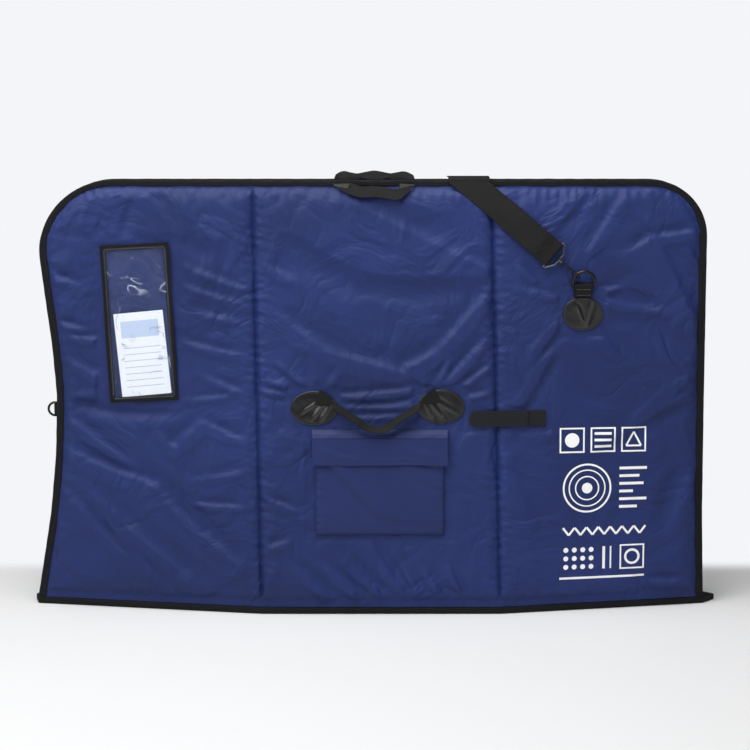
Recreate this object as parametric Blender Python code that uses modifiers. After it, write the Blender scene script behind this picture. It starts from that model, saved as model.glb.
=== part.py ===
"""Soft bike travel bag: two padded panels of three quilted sections each, standing on a wide bottom.

Metres, +Z up, the front panel faces -Y. The origin is on the floor, midway between the panels.
"""

import math

import bmesh
import bpy
import numpy as np
from mathutils import Matrix, Vector

# Overall sizes
HEIGHT = 0.800
HALF_WIDTH = 0.620
BULGE = 0.075
INNER_DEPTH = 0.021
CORNER_RADIUS_LEFT = 0.140
CORNER_RADIUS_RIGHT = 0.105

# Each side edge, as shares of the height and of the half width
LEFT_EDGE_SHARES = (
    (0.0, 1.034),
    (0.22, 0.985),
    (0.36, 0.9655),
    (0.50, 0.958),
    (0.62, 0.969),
    (0.73, 0.986),
    (0.84, 1.002),
    (1.0, 1.004),
)
RIGHT_EDGE_SHARES = ((0.0, 1.005), (0.22, 0.995), (0.50, 0.991), (0.84, 0.988), (1.0, 0.988))

# Each fold line at the floor and at the top, as shares of the half width
LEFT_FOLD_SHARES = (-0.339, -0.363)
RIGHT_FOLD_SHARES = (0.377, 0.347)

# Cloth, padding and the gaps between layers
CLOTH = 0.0008
FOAM = 0.010
FOAM_EDGE = 0.003
LAYER_GAP = 0.0004
GAP = 0.0003
PATCH_GAP = 0.0009
EDGE_SEAM = 0.014
FOLD_SEAM = 0.002
SEAM_SLOPE = 0.003
PAD_SLOPE = 0.026
LEAST_PAD = 0.5 * FOAM_EDGE
SEAT_GAP = 0.0006

# Binding tape round the panels and round the bottom
BINDING = 0.0010
BINDING_WIDTH = 0.013
BOTTOM_BINDING_HEIGHT = 0.012
BOTTOM_BINDING_DEPTH = 0.007
EAR_LEFT = 0.008
EAR_RIGHT = 0.026
BOTTOM_PAD = 0.008

# Zip
COIL_WIDTH = 0.0040
COIL_HEIGHT = 0.0036
COIL_PARTING = 0.0008
ZIP_TAPE = 0.0010
ZIP_END_HEIGHT = 0.020

SEAM_HEIGHT = BOTTOM_BINDING_HEIGHT + GAP
CORNER_STEP_SHARES = (0.5, 1.0)
ROW_SHARES = (0.22, 0.36, 0.50, 0.62, 0.73)
MIDDLE_STEP = 0.115
PAD_STEPS = (0.0, SEAM_SLOPE, SEAM_SLOPE + PAD_SLOPE)


def fresh_collection(name, parent=None):
    collection = bpy.data.collections.new(name)
    (parent or bpy.context.scene.collection).children.link(collection)
    return collection


for old in list(bpy.data.objects):
    bpy.data.objects.remove(old, do_unlink=True)
BAG = fresh_collection("soft_bike_travel_bag")
CUTTERS = fresh_collection("cutters")


def finish(name, colour, roughness, metallic=0.0):
    """A plain material of one colour."""
    material = bpy.data.materials.new(name)
    material.use_nodes = True
    shader = material.node_tree.nodes["Principled BSDF"]
    shader.inputs["Base Color"].default_value = (*colour, 1.0)
    shader.inputs["Roughness"].default_value = roughness
    shader.inputs["Metallic"].default_value = metallic
    return material


NAVY_NYLON = finish("navy_nylon", (0.028, 0.045, 0.140), 0.45)
POCKET_NYLON = finish("pocket_nylon", (0.030, 0.042, 0.130), 0.50)
LINING_CLOTH = finish("lining_cloth", (0.020, 0.028, 0.070), 0.70)
PADDING = finish("padding", (0.62, 0.62, 0.58), 0.90)
BLACK_TAPE = finish("black_tape", (0.012, 0.012, 0.013), 0.75)
WEBBING = finish("webbing", (0.020, 0.019, 0.018), 0.80)
BLACK_LEATHER = finish("black_leather", (0.030, 0.030, 0.032), 0.42)
BLACK_COIL = finish("black_coil", (0.010, 0.010, 0.011), 0.40)
BLACK_METAL = finish("black_metal", (0.020, 0.020, 0.022), 0.35, 0.8)
STEEL = finish("steel", (0.45, 0.45, 0.46), 0.30, 1.0)
CLEAR_VINYL = finish("clear_vinyl", (0.55, 0.58, 0.62), 0.15)
CARD_STOCK = finish("card_stock", (0.72, 0.78, 0.84), 0.60)
HOOK_TAPE = finish("hook_tape", (0.018, 0.018, 0.020), 0.90)


def add_object(name, mesh, material, matrix=None, collection=None):
    item = bpy.data.objects.new(name, mesh)
    if matrix is not None:
        item.location = matrix.to_translation()
        item.rotation_euler = matrix.to_euler()
    (collection or BAG).objects.link(item)
    mesh.materials.append(material)
    return item


def mesh_from(builder, name):
    mesh = bpy.data.meshes.new(name)
    builder.to_mesh(mesh)
    builder.free()
    return mesh


def loft(name, sections, material, matrix=None, closed=False):
    """A solid through sections of as many points each, capped at its ends or joined in a ring."""
    builder = bmesh.new()
    rings = [[builder.verts.new(point) for point in section] for section in sections]
    count = len(rings[0])
    pairs = list(zip(rings, rings[1:]))
    if closed:
        pairs.append((rings[-1], rings[0]))
    for first, second in pairs:
        for i in range(count):
            j = (i + 1) % count
            builder.faces.new((first[i], first[j], second[j], second[i]))
    if not closed:
        builder.faces.new(rings[0])
        builder.faces.new(rings[-1])
    bmesh.ops.recalc_face_normals(builder, faces=builder.faces)
    return add_object(name, mesh_from(builder, name), material, matrix)


def table(shares, at):
    return float(np.interp(at, [row[0] for row in shares], [row[1] for row in shares]))


def left_edge(z):
    return -HALF_WIDTH * table(LEFT_EDGE_SHARES, z / HEIGHT)


def right_edge(z):
    return HALF_WIDTH * table(RIGHT_EDGE_SHARES, z / HEIGHT)


def fold_line(shares, z):
    return HALF_WIDTH * (shares[0] + (shares[1] - shares[0]) * z / HEIGHT)


def left_fold(z):
    return fold_line(LEFT_FOLD_SHARES, z)


def right_fold(z):
    return fold_line(RIGHT_FOLD_SHARES, z)


def base_depth(x, z):
    """How far the inside of a panel lies from the middle plane: most at the floor, between the folds."""
    if x < left_fold(z):
        share = (x - left_edge(z)) / (left_fold(z) - left_edge(z))
    elif x > right_fold(z):
        share = (right_edge(z) - x) / (right_edge(z) - right_fold(z))
    else:
        share = 1.0
    return INNER_DEPTH + BULGE * max(share, 0.0) * (1.0 - z / HEIGHT)


def padding_height(from_seam):
    """The thickness of the padding at this distance from the seam strip it starts at."""
    return float(np.interp(from_seam, PAD_STEPS, (0.0, FOAM_EDGE, FOAM)))


STACK = CLOTH + 2 * LAYER_GAP
OUTER_RISE = STACK + CLOTH


def outer_depth(x, z):
    """How far the outside of a panel lies from the middle plane."""
    seam = min(
        x - left_edge(z) - EDGE_SEAM,
        right_edge(z) - x - EDGE_SEAM,
        abs(x - left_fold(z)) - FOLD_SEAM,
        abs(x - right_fold(z)) - FOLD_SEAM,
        HEIGHT - z - EDGE_SEAM,
        z - SEAM_HEIGHT - EDGE_SEAM,
    )
    return base_depth(x, z) + OUTER_RISE + padding_height(max(seam, 0.0))


# Columns run from the left edge to the right edge, and rows from the bottom seam to the top edge
EDGE_STEPS = tuple(EDGE_SEAM + step for step in PAD_STEPS)
FOLD_STEPS = tuple(FOLD_SEAM + step for step in PAD_STEPS)
SIDE_STEPS = (*FOLD_STEPS, MIDDLE_STEP)


def corner_steps(radius):
    reach = EDGE_STEPS[-1]
    return tuple(reach + (radius - reach) * share for share in CORNER_STEP_SHARES)


LEFT_STEPS = (0.0, *EDGE_STEPS, *corner_steps(CORNER_RADIUS_LEFT))
RIGHT_STEPS = (0.0, *EDGE_STEPS, *corner_steps(CORNER_RADIUS_RIGHT))
COLUMNS = (
    [(left_edge, 1, step, "edge") for step in LEFT_STEPS]
    + [(left_fold, -1, step, "fold") for step in reversed(SIDE_STEPS)]
    + [(left_fold, 1, 0.0, "fold")]
    + [(left_fold, 1, step, "fold") for step in FOLD_STEPS]
    + [(right_fold, -1, step, "fold") for step in reversed(FOLD_STEPS)]
    + [(right_fold, 1, 0.0, "fold")]
    + [(right_fold, 1, step, "fold") for step in SIDE_STEPS]
    + [(right_edge, -1, step, "edge") for step in reversed(RIGHT_STEPS)]
)
TOP_STEPS = sorted({0.0, *EDGE_STEPS, *corner_steps(CORNER_RADIUS_LEFT), CORNER_RADIUS_RIGHT}, reverse=True)
ROWS = (
    [SEAM_HEIGHT]
    + [SEAM_HEIGHT + step for step in EDGE_STEPS]
    + [HEIGHT * share for share in ROW_SHARES]
    + [HEIGHT - step for step in TOP_STEPS]
)


def round_corner(across, down, radius):
    """The place of a grid point near a top corner, in from the side and down from the top."""
    if across >= radius or down >= radius:
        return across, down
    inset = min(across, down)
    if across <= down:
        angle = math.pi / 4 * (radius - down) / (radius - inset)
    else:
        angle = math.pi / 2 - math.pi / 4 * (radius - across) / (radius - inset)
    reach = radius - inset
    return radius - reach * math.cos(angle), radius - reach * math.sin(angle)


def panel_point(column, row):
    """(x, z, distance from the nearest seam strip) of one point of the panel grid."""
    line, side, step, kind = COLUMNS[column]
    z = ROWS[row]
    down = HEIGHT - z
    from_seam = [down - EDGE_SEAM, z - SEAM_HEIGHT - EDGE_SEAM]
    from_seam.append(step - (EDGE_SEAM if kind == "edge" else FOLD_SEAM))
    if kind == "edge":
        radius = CORNER_RADIUS_LEFT if side > 0 else CORNER_RADIUS_RIGHT
        across, down = round_corner(step, down, radius)
        z = HEIGHT - down
        return line(z) + side * across, z, max(min(from_seam), 0.0)
    return line(z) + side * step, z, max(min(from_seam), 0.0)


LAST_COLUMN = len(COLUMNS) - 1
LAST_ROW = len(ROWS) - 1


def panel_grid(columns, rows):
    """A flat grid and, for each of its vertices, the panel point it stands for."""
    builder = bmesh.new()
    wide = columns[1] - columns[0]
    high = rows[1] - rows[0]
    bmesh.ops.create_grid(builder, x_segments=wide, y_segments=high, size=1.0)
    places = {}
    for vertex in builder.verts:
        column = columns[0] + round((vertex.co.x + 1.0) / 2.0 * wide)
        row = rows[0] + round((vertex.co.y + 1.0) / 2.0 * high)
        places[vertex] = panel_point(column, row)
    return builder, places


def panel_sheet(name, side, padded, material):
    """One cloth of a panel: the outer cloth over the padding, or the lining under it."""
    builder, places = panel_grid((0, LAST_COLUMN), (0, LAST_ROW))
    for vertex, (x, z, from_seam) in places.items():
        depth = base_depth(x, z) + CLOTH
        if padded:
            depth += 2 * LAYER_GAP + padding_height(from_seam)
        vertex.co = (x, side * depth, z)
    # The grid faces the way of its rows crossed with its columns, so the back panel is turned round
    if side > 0:
        bmesh.ops.reverse_faces(builder, faces=builder.faces)
    item = add_object(name, mesh_from(builder, name), material)
    wall = item.modifiers.new("cloth", "SOLIDIFY")
    wall.thickness = CLOTH
    wall.offset = 1.0 if padded else -1.0
    wall.use_even_offset = False
    return item


def panel_padding(name, side, columns, material):
    """One sheet of foam, thinned towards the seams round it."""
    builder, places = panel_grid(columns, (2, LAST_ROW - 2))
    shapes = {}
    for vertex, (x, z, from_seam) in places.items():
        depth = base_depth(x, z) + CLOTH + LAYER_GAP
        vertex.co = (x, side * depth, z)
        shapes[tuple(vertex.co)] = side * (depth + max(padding_height(from_seam), LEAST_PAD))
    grown = bmesh.ops.extrude_face_region(builder, geom=list(builder.faces))
    for vertex in grown["geom"]:
        if isinstance(vertex, bmesh.types.BMVert):
            vertex.co.y = shapes[tuple(vertex.co)]
    bmesh.ops.recalc_face_normals(builder, faces=builder.faces)
    return add_object(name, mesh_from(builder, name), material)


def padding_columns():
    """The columns that each section's foam lies between."""
    left = len(LEFT_STEPS) + len(SIDE_STEPS)
    right = left + 2 * len(FOLD_STEPS) + 1
    return {"left": (2, left - 2), "middle": (left + 2, right - 2), "right": (right + 2, LAST_COLUMN - 2)}


def edge_line():
    """The panel's edge from the bottom left, over the top, to the bottom right: (x, z, outward normal)."""
    places = [panel_point(0, row)[:2] for row in range(LAST_ROW + 1)]
    places += [panel_point(column, LAST_ROW)[:2] for column in range(1, LAST_COLUMN)]
    places += [panel_point(LAST_COLUMN, row)[:2] for row in range(LAST_ROW, -1, -1)]
    line = []
    for i, (x, z) in enumerate(places):
        before = Vector(places[max(i - 1, 0)])
        after = Vector(places[min(i + 1, len(places) - 1)])
        run = (after - before).normalized()
        line.append((x, z, Vector((-run.y, run.x))))
    # The strips end square on the bottom seam
    line[0] = (*places[0], Vector((-1.0, 0.0)))
    line[-1] = (*places[-1], Vector((1.0, 0.0)))
    return line


EDGE_LINE = edge_line()


def swept_edge(name, side, profile, material, least_z=0.0, plain_top=False):
    """A strip along the panel's edge. Its profile is (outward, depth beyond the panel's inside)."""
    sections = []
    for i, (x, z, outward) in enumerate(EDGE_LINE):
        on_top = 0 < i < len(EDGE_LINE) - 1 and EDGE_LINE[i - 1][1] == z == EDGE_LINE[i + 1][1]
        if z < least_z or plain_top and on_top:
            continue
        section = []
        for out, depth in profile:
            px = x + out * outward.x
            pz = z + out * outward.y
            section.append((px, side * (base_depth(px, min(pz, HEIGHT)) + depth), pz))
        sections.append(section)
    return loft(name, sections, material)


def panel(side, place):
    """The cloths, padding, binding, zip tape and zip coil of the front or the back."""
    panel_sheet(f"{place}_shell", side, True, NAVY_NYLON)
    panel_sheet(f"{place}_lining", side, False, LINING_CLOTH)
    for section, columns in padding_columns().items():
        panel_padding(f"{place}_foam_{section}", side, columns, PADDING)
    low = -SEAT_GAP - BINDING
    high = OUTER_RISE + SEAT_GAP + BINDING
    profile = [
        (GAP + BINDING, low),
        (GAP + BINDING, high),
        (-BINDING_WIDTH, high),
        (-BINDING_WIDTH, high - BINDING),
        (GAP, high - BINDING),
        (GAP, low + BINDING),
        (-BINDING_WIDTH, low + BINDING),
        (-BINDING_WIDTH, low),
    ]
    swept_edge(f"{place}_binding", side, profile, BLACK_TAPE)
    coil_near = COIL_PARTING - INNER_DEPTH
    coil_far = coil_near + COIL_WIDTH
    half_coil = COIL_HEIGHT / 2
    coil = [(half_coil, coil_near), (half_coil, coil_far), (-half_coil, coil_far), (-half_coil, coil_near)]
    swept_edge(f"zip_coil_{place}", side, coil, BLACK_COIL, ZIP_END_HEIGHT, True)
    half_tape = ZIP_TAPE / 2
    tape_near = coil_far + GAP
    tape_far = low - GAP
    tape = [(half_tape, tape_near), (half_tape, tape_far), (-half_tape, tape_far), (-half_tape, tape_near)]
    swept_edge(f"zip_tape_{place}", side, tape, BLACK_TAPE, ZIP_END_HEIGHT, True)


panel(-1, "front")
panel(1, "back")

# The bottom: a lens of cloth over a foam pad, with binding round it that ends in an ear at each corner
PANEL_FACE = OUTER_RISE + SEAT_GAP + BINDING


def bottom_line(inset):
    """The bottom's outline, this far inside its outer edge, at the four corners of its front half."""
    places = []
    for x, inward in (
        (left_edge(0.0), 1),
        (left_fold(0.0), 0),
        (right_fold(0.0), 0),
        (right_edge(0.0), -1),
    ):
        places.append((x + inward * inset, base_depth(x, 0.0) + PANEL_FACE - inset))
    return places


def bottom_ring():
    outer = bottom_line(0.0)
    inner = bottom_line(BOTTOM_BINDING_DEPTH)
    pairs = [((outer[0][0] - EAR_LEFT, 0.0), (inner[0][0], 0.0))]
    pairs += [((a[0], -a[1]), (b[0], -b[1])) for a, b in zip(outer, inner)]
    pairs += [((outer[-1][0] + EAR_RIGHT, 0.0), (inner[-1][0], 0.0))]
    pairs += [(a, b) for a, b in zip(reversed(outer), reversed(inner))]
    sections = []
    for (ax, ay), (bx, by) in pairs:
        top = BOTTOM_BINDING_HEIGHT
        sections.append([(ax, ay, 0.0), (bx, by, 0.0), (bx, by, top), (ax, ay, top)])
    return loft("bottom_binding", sections, BLACK_TAPE, closed=True)


def plate(name, outline, low, high, material, matrix=None):
    """A flat plate: an outline in the local XY plane, from low to high along local Z."""
    builder = bmesh.new()
    face = builder.faces.new([builder.verts.new((x, y, low)) for x, y in outline])
    grown = bmesh.ops.extrude_face_region(builder, geom=[face])
    raised = [item for item in grown["geom"] if isinstance(item, bmesh.types.BMVert)]
    bmesh.ops.translate(builder, verts=raised, vec=(0.0, 0.0, high - low))
    bmesh.ops.recalc_face_normals(builder, faces=builder.faces)
    return add_object(name, mesh_from(builder, name), material, matrix)


def bottom():
    bottom_ring()
    corners = bottom_line(BOTTOM_BINDING_DEPTH + GAP)
    outline = [(x, -y) for x, y in corners] + [(x, y) for x, y in reversed(corners)]
    pad_low = CLOTH + LAYER_GAP
    pad_high = pad_low + BOTTOM_PAD
    plate("bottom_shell", outline, 0.0, CLOTH, NAVY_NYLON)
    plate("bottom_pad", outline, pad_low, pad_high, PADDING)
    plate("bottom_lining", outline, pad_high + LAYER_GAP, pad_high + LAYER_GAP + CLOTH, LINING_CLOTH)


bottom()

# Frames on the panels' faces, for what is sewn or hung there
SLOPE_STEP = 0.001
MERGE = 0.00001


def face_depth(x, z):
    """How far the outside of a panel lies from the middle plane where its padding is full."""
    return base_depth(x, z) + OUTER_RISE + FOAM


def face_frame(side, x, z, stand=0.0, slope=None, tilt=0.0):
    """A frame on a panel's face: X to the right, Y up and Z outward, seen from that side."""
    if slope is None:
        slope = (
            (face_depth(x + SLOPE_STEP, z) - face_depth(x - SLOPE_STEP, z)) / (2 * SLOPE_STEP),
            (face_depth(x, z + SLOPE_STEP) - face_depth(x, z - SLOPE_STEP)) / (2 * SLOPE_STEP),
        )
    across = Vector((1.0, side * slope[0], 0.0)) * -side
    up = Vector((0.0, side * slope[1], 1.0))
    outward = across.cross(up).normalized()
    up = (up - up.dot(outward) * outward).normalized()
    across = up.cross(outward)
    turn = Matrix((across, up, outward)).transposed().to_4x4()
    place = Vector((x, side * face_depth(x, z), z)) + stand * outward
    return Matrix.Translation(place) @ turn @ Matrix.Rotation(tilt, 4, "Z")


def placed(frame, point):
    return frame @ Vector(point)


def ribbon(name, centres, halves, thickness, material, frame=None):
    """A flat strap through its centres, each with the vector to its edge there."""
    centres = [Vector(point) for point in centres]
    halves = [Vector(half) for half in halves]
    sections = []
    for i, (centre, half) in enumerate(zip(centres, halves)):
        run = centres[min(i + 1, len(centres) - 1)] - centres[max(i - 1, 0)]
        lift = run.cross(half).normalized() * thickness / 2
        near = centre - half
        far = centre + half
        sections.append((near - lift, far - lift, far + lift, near + lift))
    return loft(name, sections, material, frame)


def wire(name, points, radius, material, frame, ring=False, sides=2):
    """A round wire through the points, in the frame."""
    curve = bpy.data.curves.new(name, "CURVE")
    curve.dimensions = "3D"
    curve.bevel_depth = radius
    curve.bevel_resolution = sides
    curve.use_fill_caps = True
    spline = curve.splines.new("POLY")
    spline.points.add(len(points) - 1)
    for target, point in zip(spline.points, points):
        target.co = (*point, 1.0)
    spline.use_cyclic_u = ring
    return add_object(name, curve, material, frame)


def arc(centre, radius, start, end, steps):
    """Points on an arc in the local XY plane, from one angle to another in degrees."""
    points = []
    for i in range(steps + 1):
        angle = math.radians(start + (end - start) * i / steps)
        points.append((centre[0] + radius * math.cos(angle), centre[1] + radius * math.sin(angle)))
    return points


def rectangle(width, height, across=0.0, up=0.0):
    w = width / 2
    h = height / 2
    return [(across - w, up - h), (across + w, up - h), (across + w, up + h), (across - w, up + h)]


def oval(name, width, height, thickness, frame, material):
    outline = [(x * width / 2, y * height / 2) for x, y in arc((0.0, 0.0), 1.0, 0, 337.5, 15)]
    return plate(name, outline, PATCH_GAP, PATCH_GAP + thickness, material, frame)


def square_ring(name, size, wall, thick, frame, material):
    """A flat rectangular ring in the frame's XY plane."""
    outer = rectangle(*size)
    inner = rectangle(size[0] - 2 * wall, size[1] - 2 * wall)
    sections = []
    for (ax, ay), (bx, by) in zip(outer, inner):
        sections.append(((ax, ay, 0.0), (bx, by, 0.0), (bx, by, thick), (ax, ay, thick)))
    return loft(name, sections, material, frame, True)


# Clear pocket for a card, on the left of the front
WINDOW_AT_SHARES = (-0.702, 0.674)
WINDOW_SIZE = (0.128, 0.292)
WINDOW_BAND = 0.010
WINDOW_TILT = math.radians(3.0)
WINDOW_SLOPE_SHARE = 0.75
WINDOW_STAND = 0.0042
WINDOW_THICK = 0.0012
FILM = 0.0005
CARD_SIZE = (0.092, 0.155)
CARD_AT = (0.002, -0.057)
CARD_TILT = math.radians(2.5)
CARD_THICK = 0.0005
CARD_STAND = 0.0033


def window():
    x = HALF_WIDTH * WINDOW_AT_SHARES[0]
    z = HEIGHT * WINDOW_AT_SHARES[1]
    level = HEIGHT * WINDOW_SLOPE_SHARE
    slope = (
        (face_depth(x + SLOPE_STEP, level) - face_depth(x - SLOPE_STEP, level)) / (2 * SLOPE_STEP),
        (face_depth(x, level + SLOPE_STEP) - face_depth(x, level - SLOPE_STEP)) / (2 * SLOPE_STEP),
    )
    frame = face_frame(-1, x, z, 0.0, slope, WINDOW_TILT)
    width, height = WINDOW_SIZE
    low = WINDOW_STAND
    frame_plane = frame @ Matrix.Translation((0.0, 0.0, low))
    square_ring("window_frame", WINDOW_SIZE, WINDOW_BAND, WINDOW_THICK, frame_plane, BLACK_TAPE)
    clear = 2 * (WINDOW_BAND + GAP)
    plate("window_film", rectangle(width - clear, height - clear), low, low + FILM, CLEAR_VINYL, frame)
    card_frame = frame @ Matrix.Translation((*CARD_AT, 0.0)) @ Matrix.Rotation(CARD_TILT, 4, "Z")
    plate("id_card", rectangle(*CARD_SIZE), CARD_STAND, CARD_STAND + CARD_THICK, CARD_STOCK, card_frame)


window()

# Patch pocket with its flap, on the middle section of the front
POCKET_X_SHARE = 0.0145
POCKET_TOP_SHARE = 0.3975
POCKET_SIZE = (0.238, 0.168)
POCKET_DEPTH = 0.009
FLAP_BAND_TOP_SHARE = 0.431
FLAP_LINE_SHARE = 0.4105
FLAP_SIZE = (0.250, 0.049)


def pocket():
    x = HALF_WIDTH * POCKET_X_SHARE
    width, height = POCKET_SIZE
    middle = HEIGHT * POCKET_TOP_SHARE - height / 2
    frame = face_frame(-1, x, middle)
    builder = bmesh.new()
    bmesh.ops.create_cube(builder, size=1.0)
    bmesh.ops.scale(builder, verts=builder.verts, vec=(width, height, POCKET_DEPTH - GAP))
    bmesh.ops.translate(builder, verts=builder.verts, vec=(0.0, 0.0, GAP + (POCKET_DEPTH - GAP) / 2))
    open_sides = [face for face in builder.faces if face.normal.z < -0.5 or face.normal.y > 0.5]
    bmesh.ops.delete(builder, geom=open_sides, context="FACES_ONLY")
    body = add_object("pocket_body", mesh_from(builder, "pocket_body"), POCKET_NYLON, frame)
    wall = body.modifiers.new("cloth", "SOLIDIFY")
    wall.thickness = CLOTH
    wall.offset = -1.0
    stand = POCKET_DEPTH + GAP
    flap_frame = face_frame(-1, x, HEIGHT * FLAP_LINE_SHARE, stand)
    width, height = FLAP_SIZE
    hinge_frame = flap_frame @ Matrix.Translation((0.0, 0.0, CLOTH))
    outline = rectangle(width, height, 0.0, -height / 2 - GAP)
    plate("pocket_flap", outline, -CLOTH, 0.0, POCKET_NYLON, hinge_frame)
    top_frame = face_frame(-1, x, HEIGHT * FLAP_BAND_TOP_SHARE, GAP)
    sections = []
    half = width / 2
    corners = ((-half, 0.0, 0.0), (half, 0.0, 0.0), (half, 0.0, CLOTH), (-half, 0.0, CLOTH))
    for band_frame in (top_frame, flap_frame):
        sections.append([placed(band_frame, corner) for corner in corners])
    loft("pocket_flap_band", sections, POCKET_NYLON)


pocket()

# Carry handle between its two oval patches
PATCH_SIZE = (0.087, 0.063)
PATCH_THICK = 0.0020
LEFT_PATCH_AT_SHARES = (-0.182, 0.480)
RIGHT_PATCH_AT_SHARES = (0.197, 0.4835)
HANDLE_Z_SHARE = 0.4910
HANDLE_ENDS_SHARES = (-0.126, 0.137)
HANDLE_WIDTH = 0.024
HANDLE_THICK = 0.0016
HANDLE_END_WIDTH = 0.0036
HANDLE_LIFT = 0.0023
HANDLE_DROP = 0.047
HANDLE_STAND = 0.0120
HANDLE_DROP_SHARES = (
    (0.0, 0.0),
    (0.07, 0.13),
    (0.25, 0.58),
    (0.42, 0.97),
    (0.60, 1.0),
    (0.78, 0.62),
    (0.93, 0.15),
    (1.0, 0.0),
)
HANDLE_OUT_SHARE = -0.50


def hanging_handle(name, frame, start, end, drop, drop_shares, stand, width, direction=-1):
    """A webbing grab handle between two ends on its hinge line, hanging or standing from it."""
    centres = []
    for share, drop_share in drop_shares:
        out = stand * math.sqrt(drop_share)
        centres.append(Vector((start + (end - start) * share, direction * drop * drop_share, out)))
    halves = []
    for i, centre in enumerate(centres):
        run = (centres[min(i + 1, len(centres) - 1)] - centres[max(i - 1, 0)]).normalized()
        across = Vector((0.0, 1.0, -direction * HANDLE_OUT_SHARE))
        across = (across - across.dot(run) * run).normalized()
        at_end = i in (0, len(centres) - 1)
        halves.append(across * (HANDLE_END_WIDTH if at_end else width) / 2)
    return ribbon(name, centres, halves, HANDLE_THICK, WEBBING, frame)


def carry_handle():
    for side, shares in (("left", LEFT_PATCH_AT_SHARES), ("right", RIGHT_PATCH_AT_SHARES)):
        frame = face_frame(-1, HALF_WIDTH * shares[0], HEIGHT * shares[1])
        oval(f"handle_patch_{side}", *PATCH_SIZE, PATCH_THICK, frame, BLACK_LEATHER)
    first, last = (HALF_WIDTH * share for share in HANDLE_ENDS_SHARES)
    middle = (first + last) / 2
    frame = face_frame(-1, middle, HEIGHT * HANDLE_Z_SHARE, PATCH_GAP + PATCH_THICK + HANDLE_LIFT)
    ends = (first - middle, last - middle)
    drop = (HANDLE_DROP, HANDLE_DROP_SHARES, HANDLE_STAND)
    hanging_handle("carry_handle", frame, *ends, *drop, HANDLE_WIDTH)


carry_handle()

# Hook-and-loop strap across the right fold
STRAP_Z_SHARE = 0.4550
STRAP_TIP_SHARE = 0.2775
STRAP_FOLD_SHARE = 0.4565
STRAP_END_SHARE = 0.5095
CLOSURE_WIDTH = 0.030
CLOSURE_THICK = 0.0016
CLOSURE_STAND = 0.0034
CLOSURE_END_GAP = 0.0012


def closure_strap():
    z = HEIGHT * STRAP_Z_SHARE
    tip, fold, end = (HALF_WIDTH * share for share in (STRAP_TIP_SHARE, STRAP_FOLD_SHARE, STRAP_END_SHARE))
    base_frame = face_frame(-1, (fold + end) / 2, z)
    low = CLOSURE_END_GAP
    high = low + CLOSURE_THICK
    plate("closure_strap_end", rectangle(end - fold - GAP, CLOSURE_WIDTH), low, high, HOOK_TAPE, base_frame)
    slope = (
        (face_depth(end, z) - face_depth(tip, z)) / (end - tip),
        (face_depth(fold, z + SLOPE_STEP) - face_depth(fold, z - SLOPE_STEP)) / (2 * SLOPE_STEP),
    )
    frame = face_frame(-1, fold, z, CLOSURE_STAND + CLOSURE_THICK, slope)
    length = fold - tip
    round_end = CLOSURE_WIDTH / 2
    outline = arc((round_end - length, 0.0), round_end, 90, 270, 6)
    outline += [(-GAP, -round_end), (-GAP, round_end)]
    plate("closure_strap", outline, -CLOSURE_THICK, 0.0, HOOK_TAPE, frame)


closure_strap()

# Grab handles at the top edge: the front one hangs down, the back one stands up
TOP_HANDLE_ENDS_SHARES = (-0.124, 0.119)
TOP_HANDLE_WIDTH = 0.022
TOP_HANDLE_LINE = 0.0065
TOP_HANDLE_DROP = 0.016
TOP_HANDLE_STAND = 0.0125
TOP_HANDLE_RISE = 0.0115
TOP_HANDLE_LEAN = 0.0110
TOP_DROP_SHARES = (
    (0.0, 0.0),
    (0.10, 0.62),
    (0.30, 0.90),
    (0.52, 0.88),
    (0.74, 1.0),
    (0.90, 0.66),
    (1.0, 0.0),
)
TOP_RISE_SHARES = (
    (0.0, 0.0),
    (0.13, 0.80),
    (0.28, 0.72),
    (0.50, 1.0),
    (0.72, 0.70),
    (0.87, 0.84),
    (1.0, 0.0),
)


def top_handles():
    first, last = (HALF_WIDTH * share for share in TOP_HANDLE_ENDS_SHARES)
    middle = (first + last) / 2
    reach = (last - first) / 2
    depth = INNER_DEPTH + PANEL_FACE + HANDLE_LIFT
    z = HEIGHT - TOP_HANDLE_LINE
    front = Matrix.Translation((middle, -depth, z)) @ Matrix.Rotation(math.pi / 2, 4, "X")
    back = Matrix.Translation((middle, depth, z)) @ Matrix.Rotation(math.pi, 4, "Z")
    back = back @ Matrix.Rotation(math.pi / 2, 4, "X")
    width = TOP_HANDLE_WIDTH
    drop = (TOP_HANDLE_DROP, TOP_DROP_SHARES, TOP_HANDLE_STAND)
    rise = (TOP_HANDLE_RISE, TOP_RISE_SHARES, TOP_HANDLE_LEAN)
    hanging_handle("top_handle_front", front, -reach, reach, *drop, width)
    hanging_handle("top_handle_back", back, -reach, reach, *rise, width, 1)


top_handles()

# Strap rings: an oval patch, a webbing loop and a ring on the front right, and again on the back
RING_PATCH_SIZE = (0.075, 0.061)
RING_PATCH_AT_SHARES = (0.6185, 0.6956)
RING_TAB_WIDTH = 0.034
RING_TAB_LENGTH = 0.0215
RING_BAR_RISE = 0.0525
RING_RADIUS = 0.0020
RING_WIDTH = 0.0410
RING_HEIGHT = 0.0265
RING_TILT_FRONT = math.radians(15.0)
RING_TILT_BACK = math.radians(155.0)
LOOP_CLEARANCE = 0.0005
WEB = 0.0016
LOOP_SHUT = 0.0012

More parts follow.
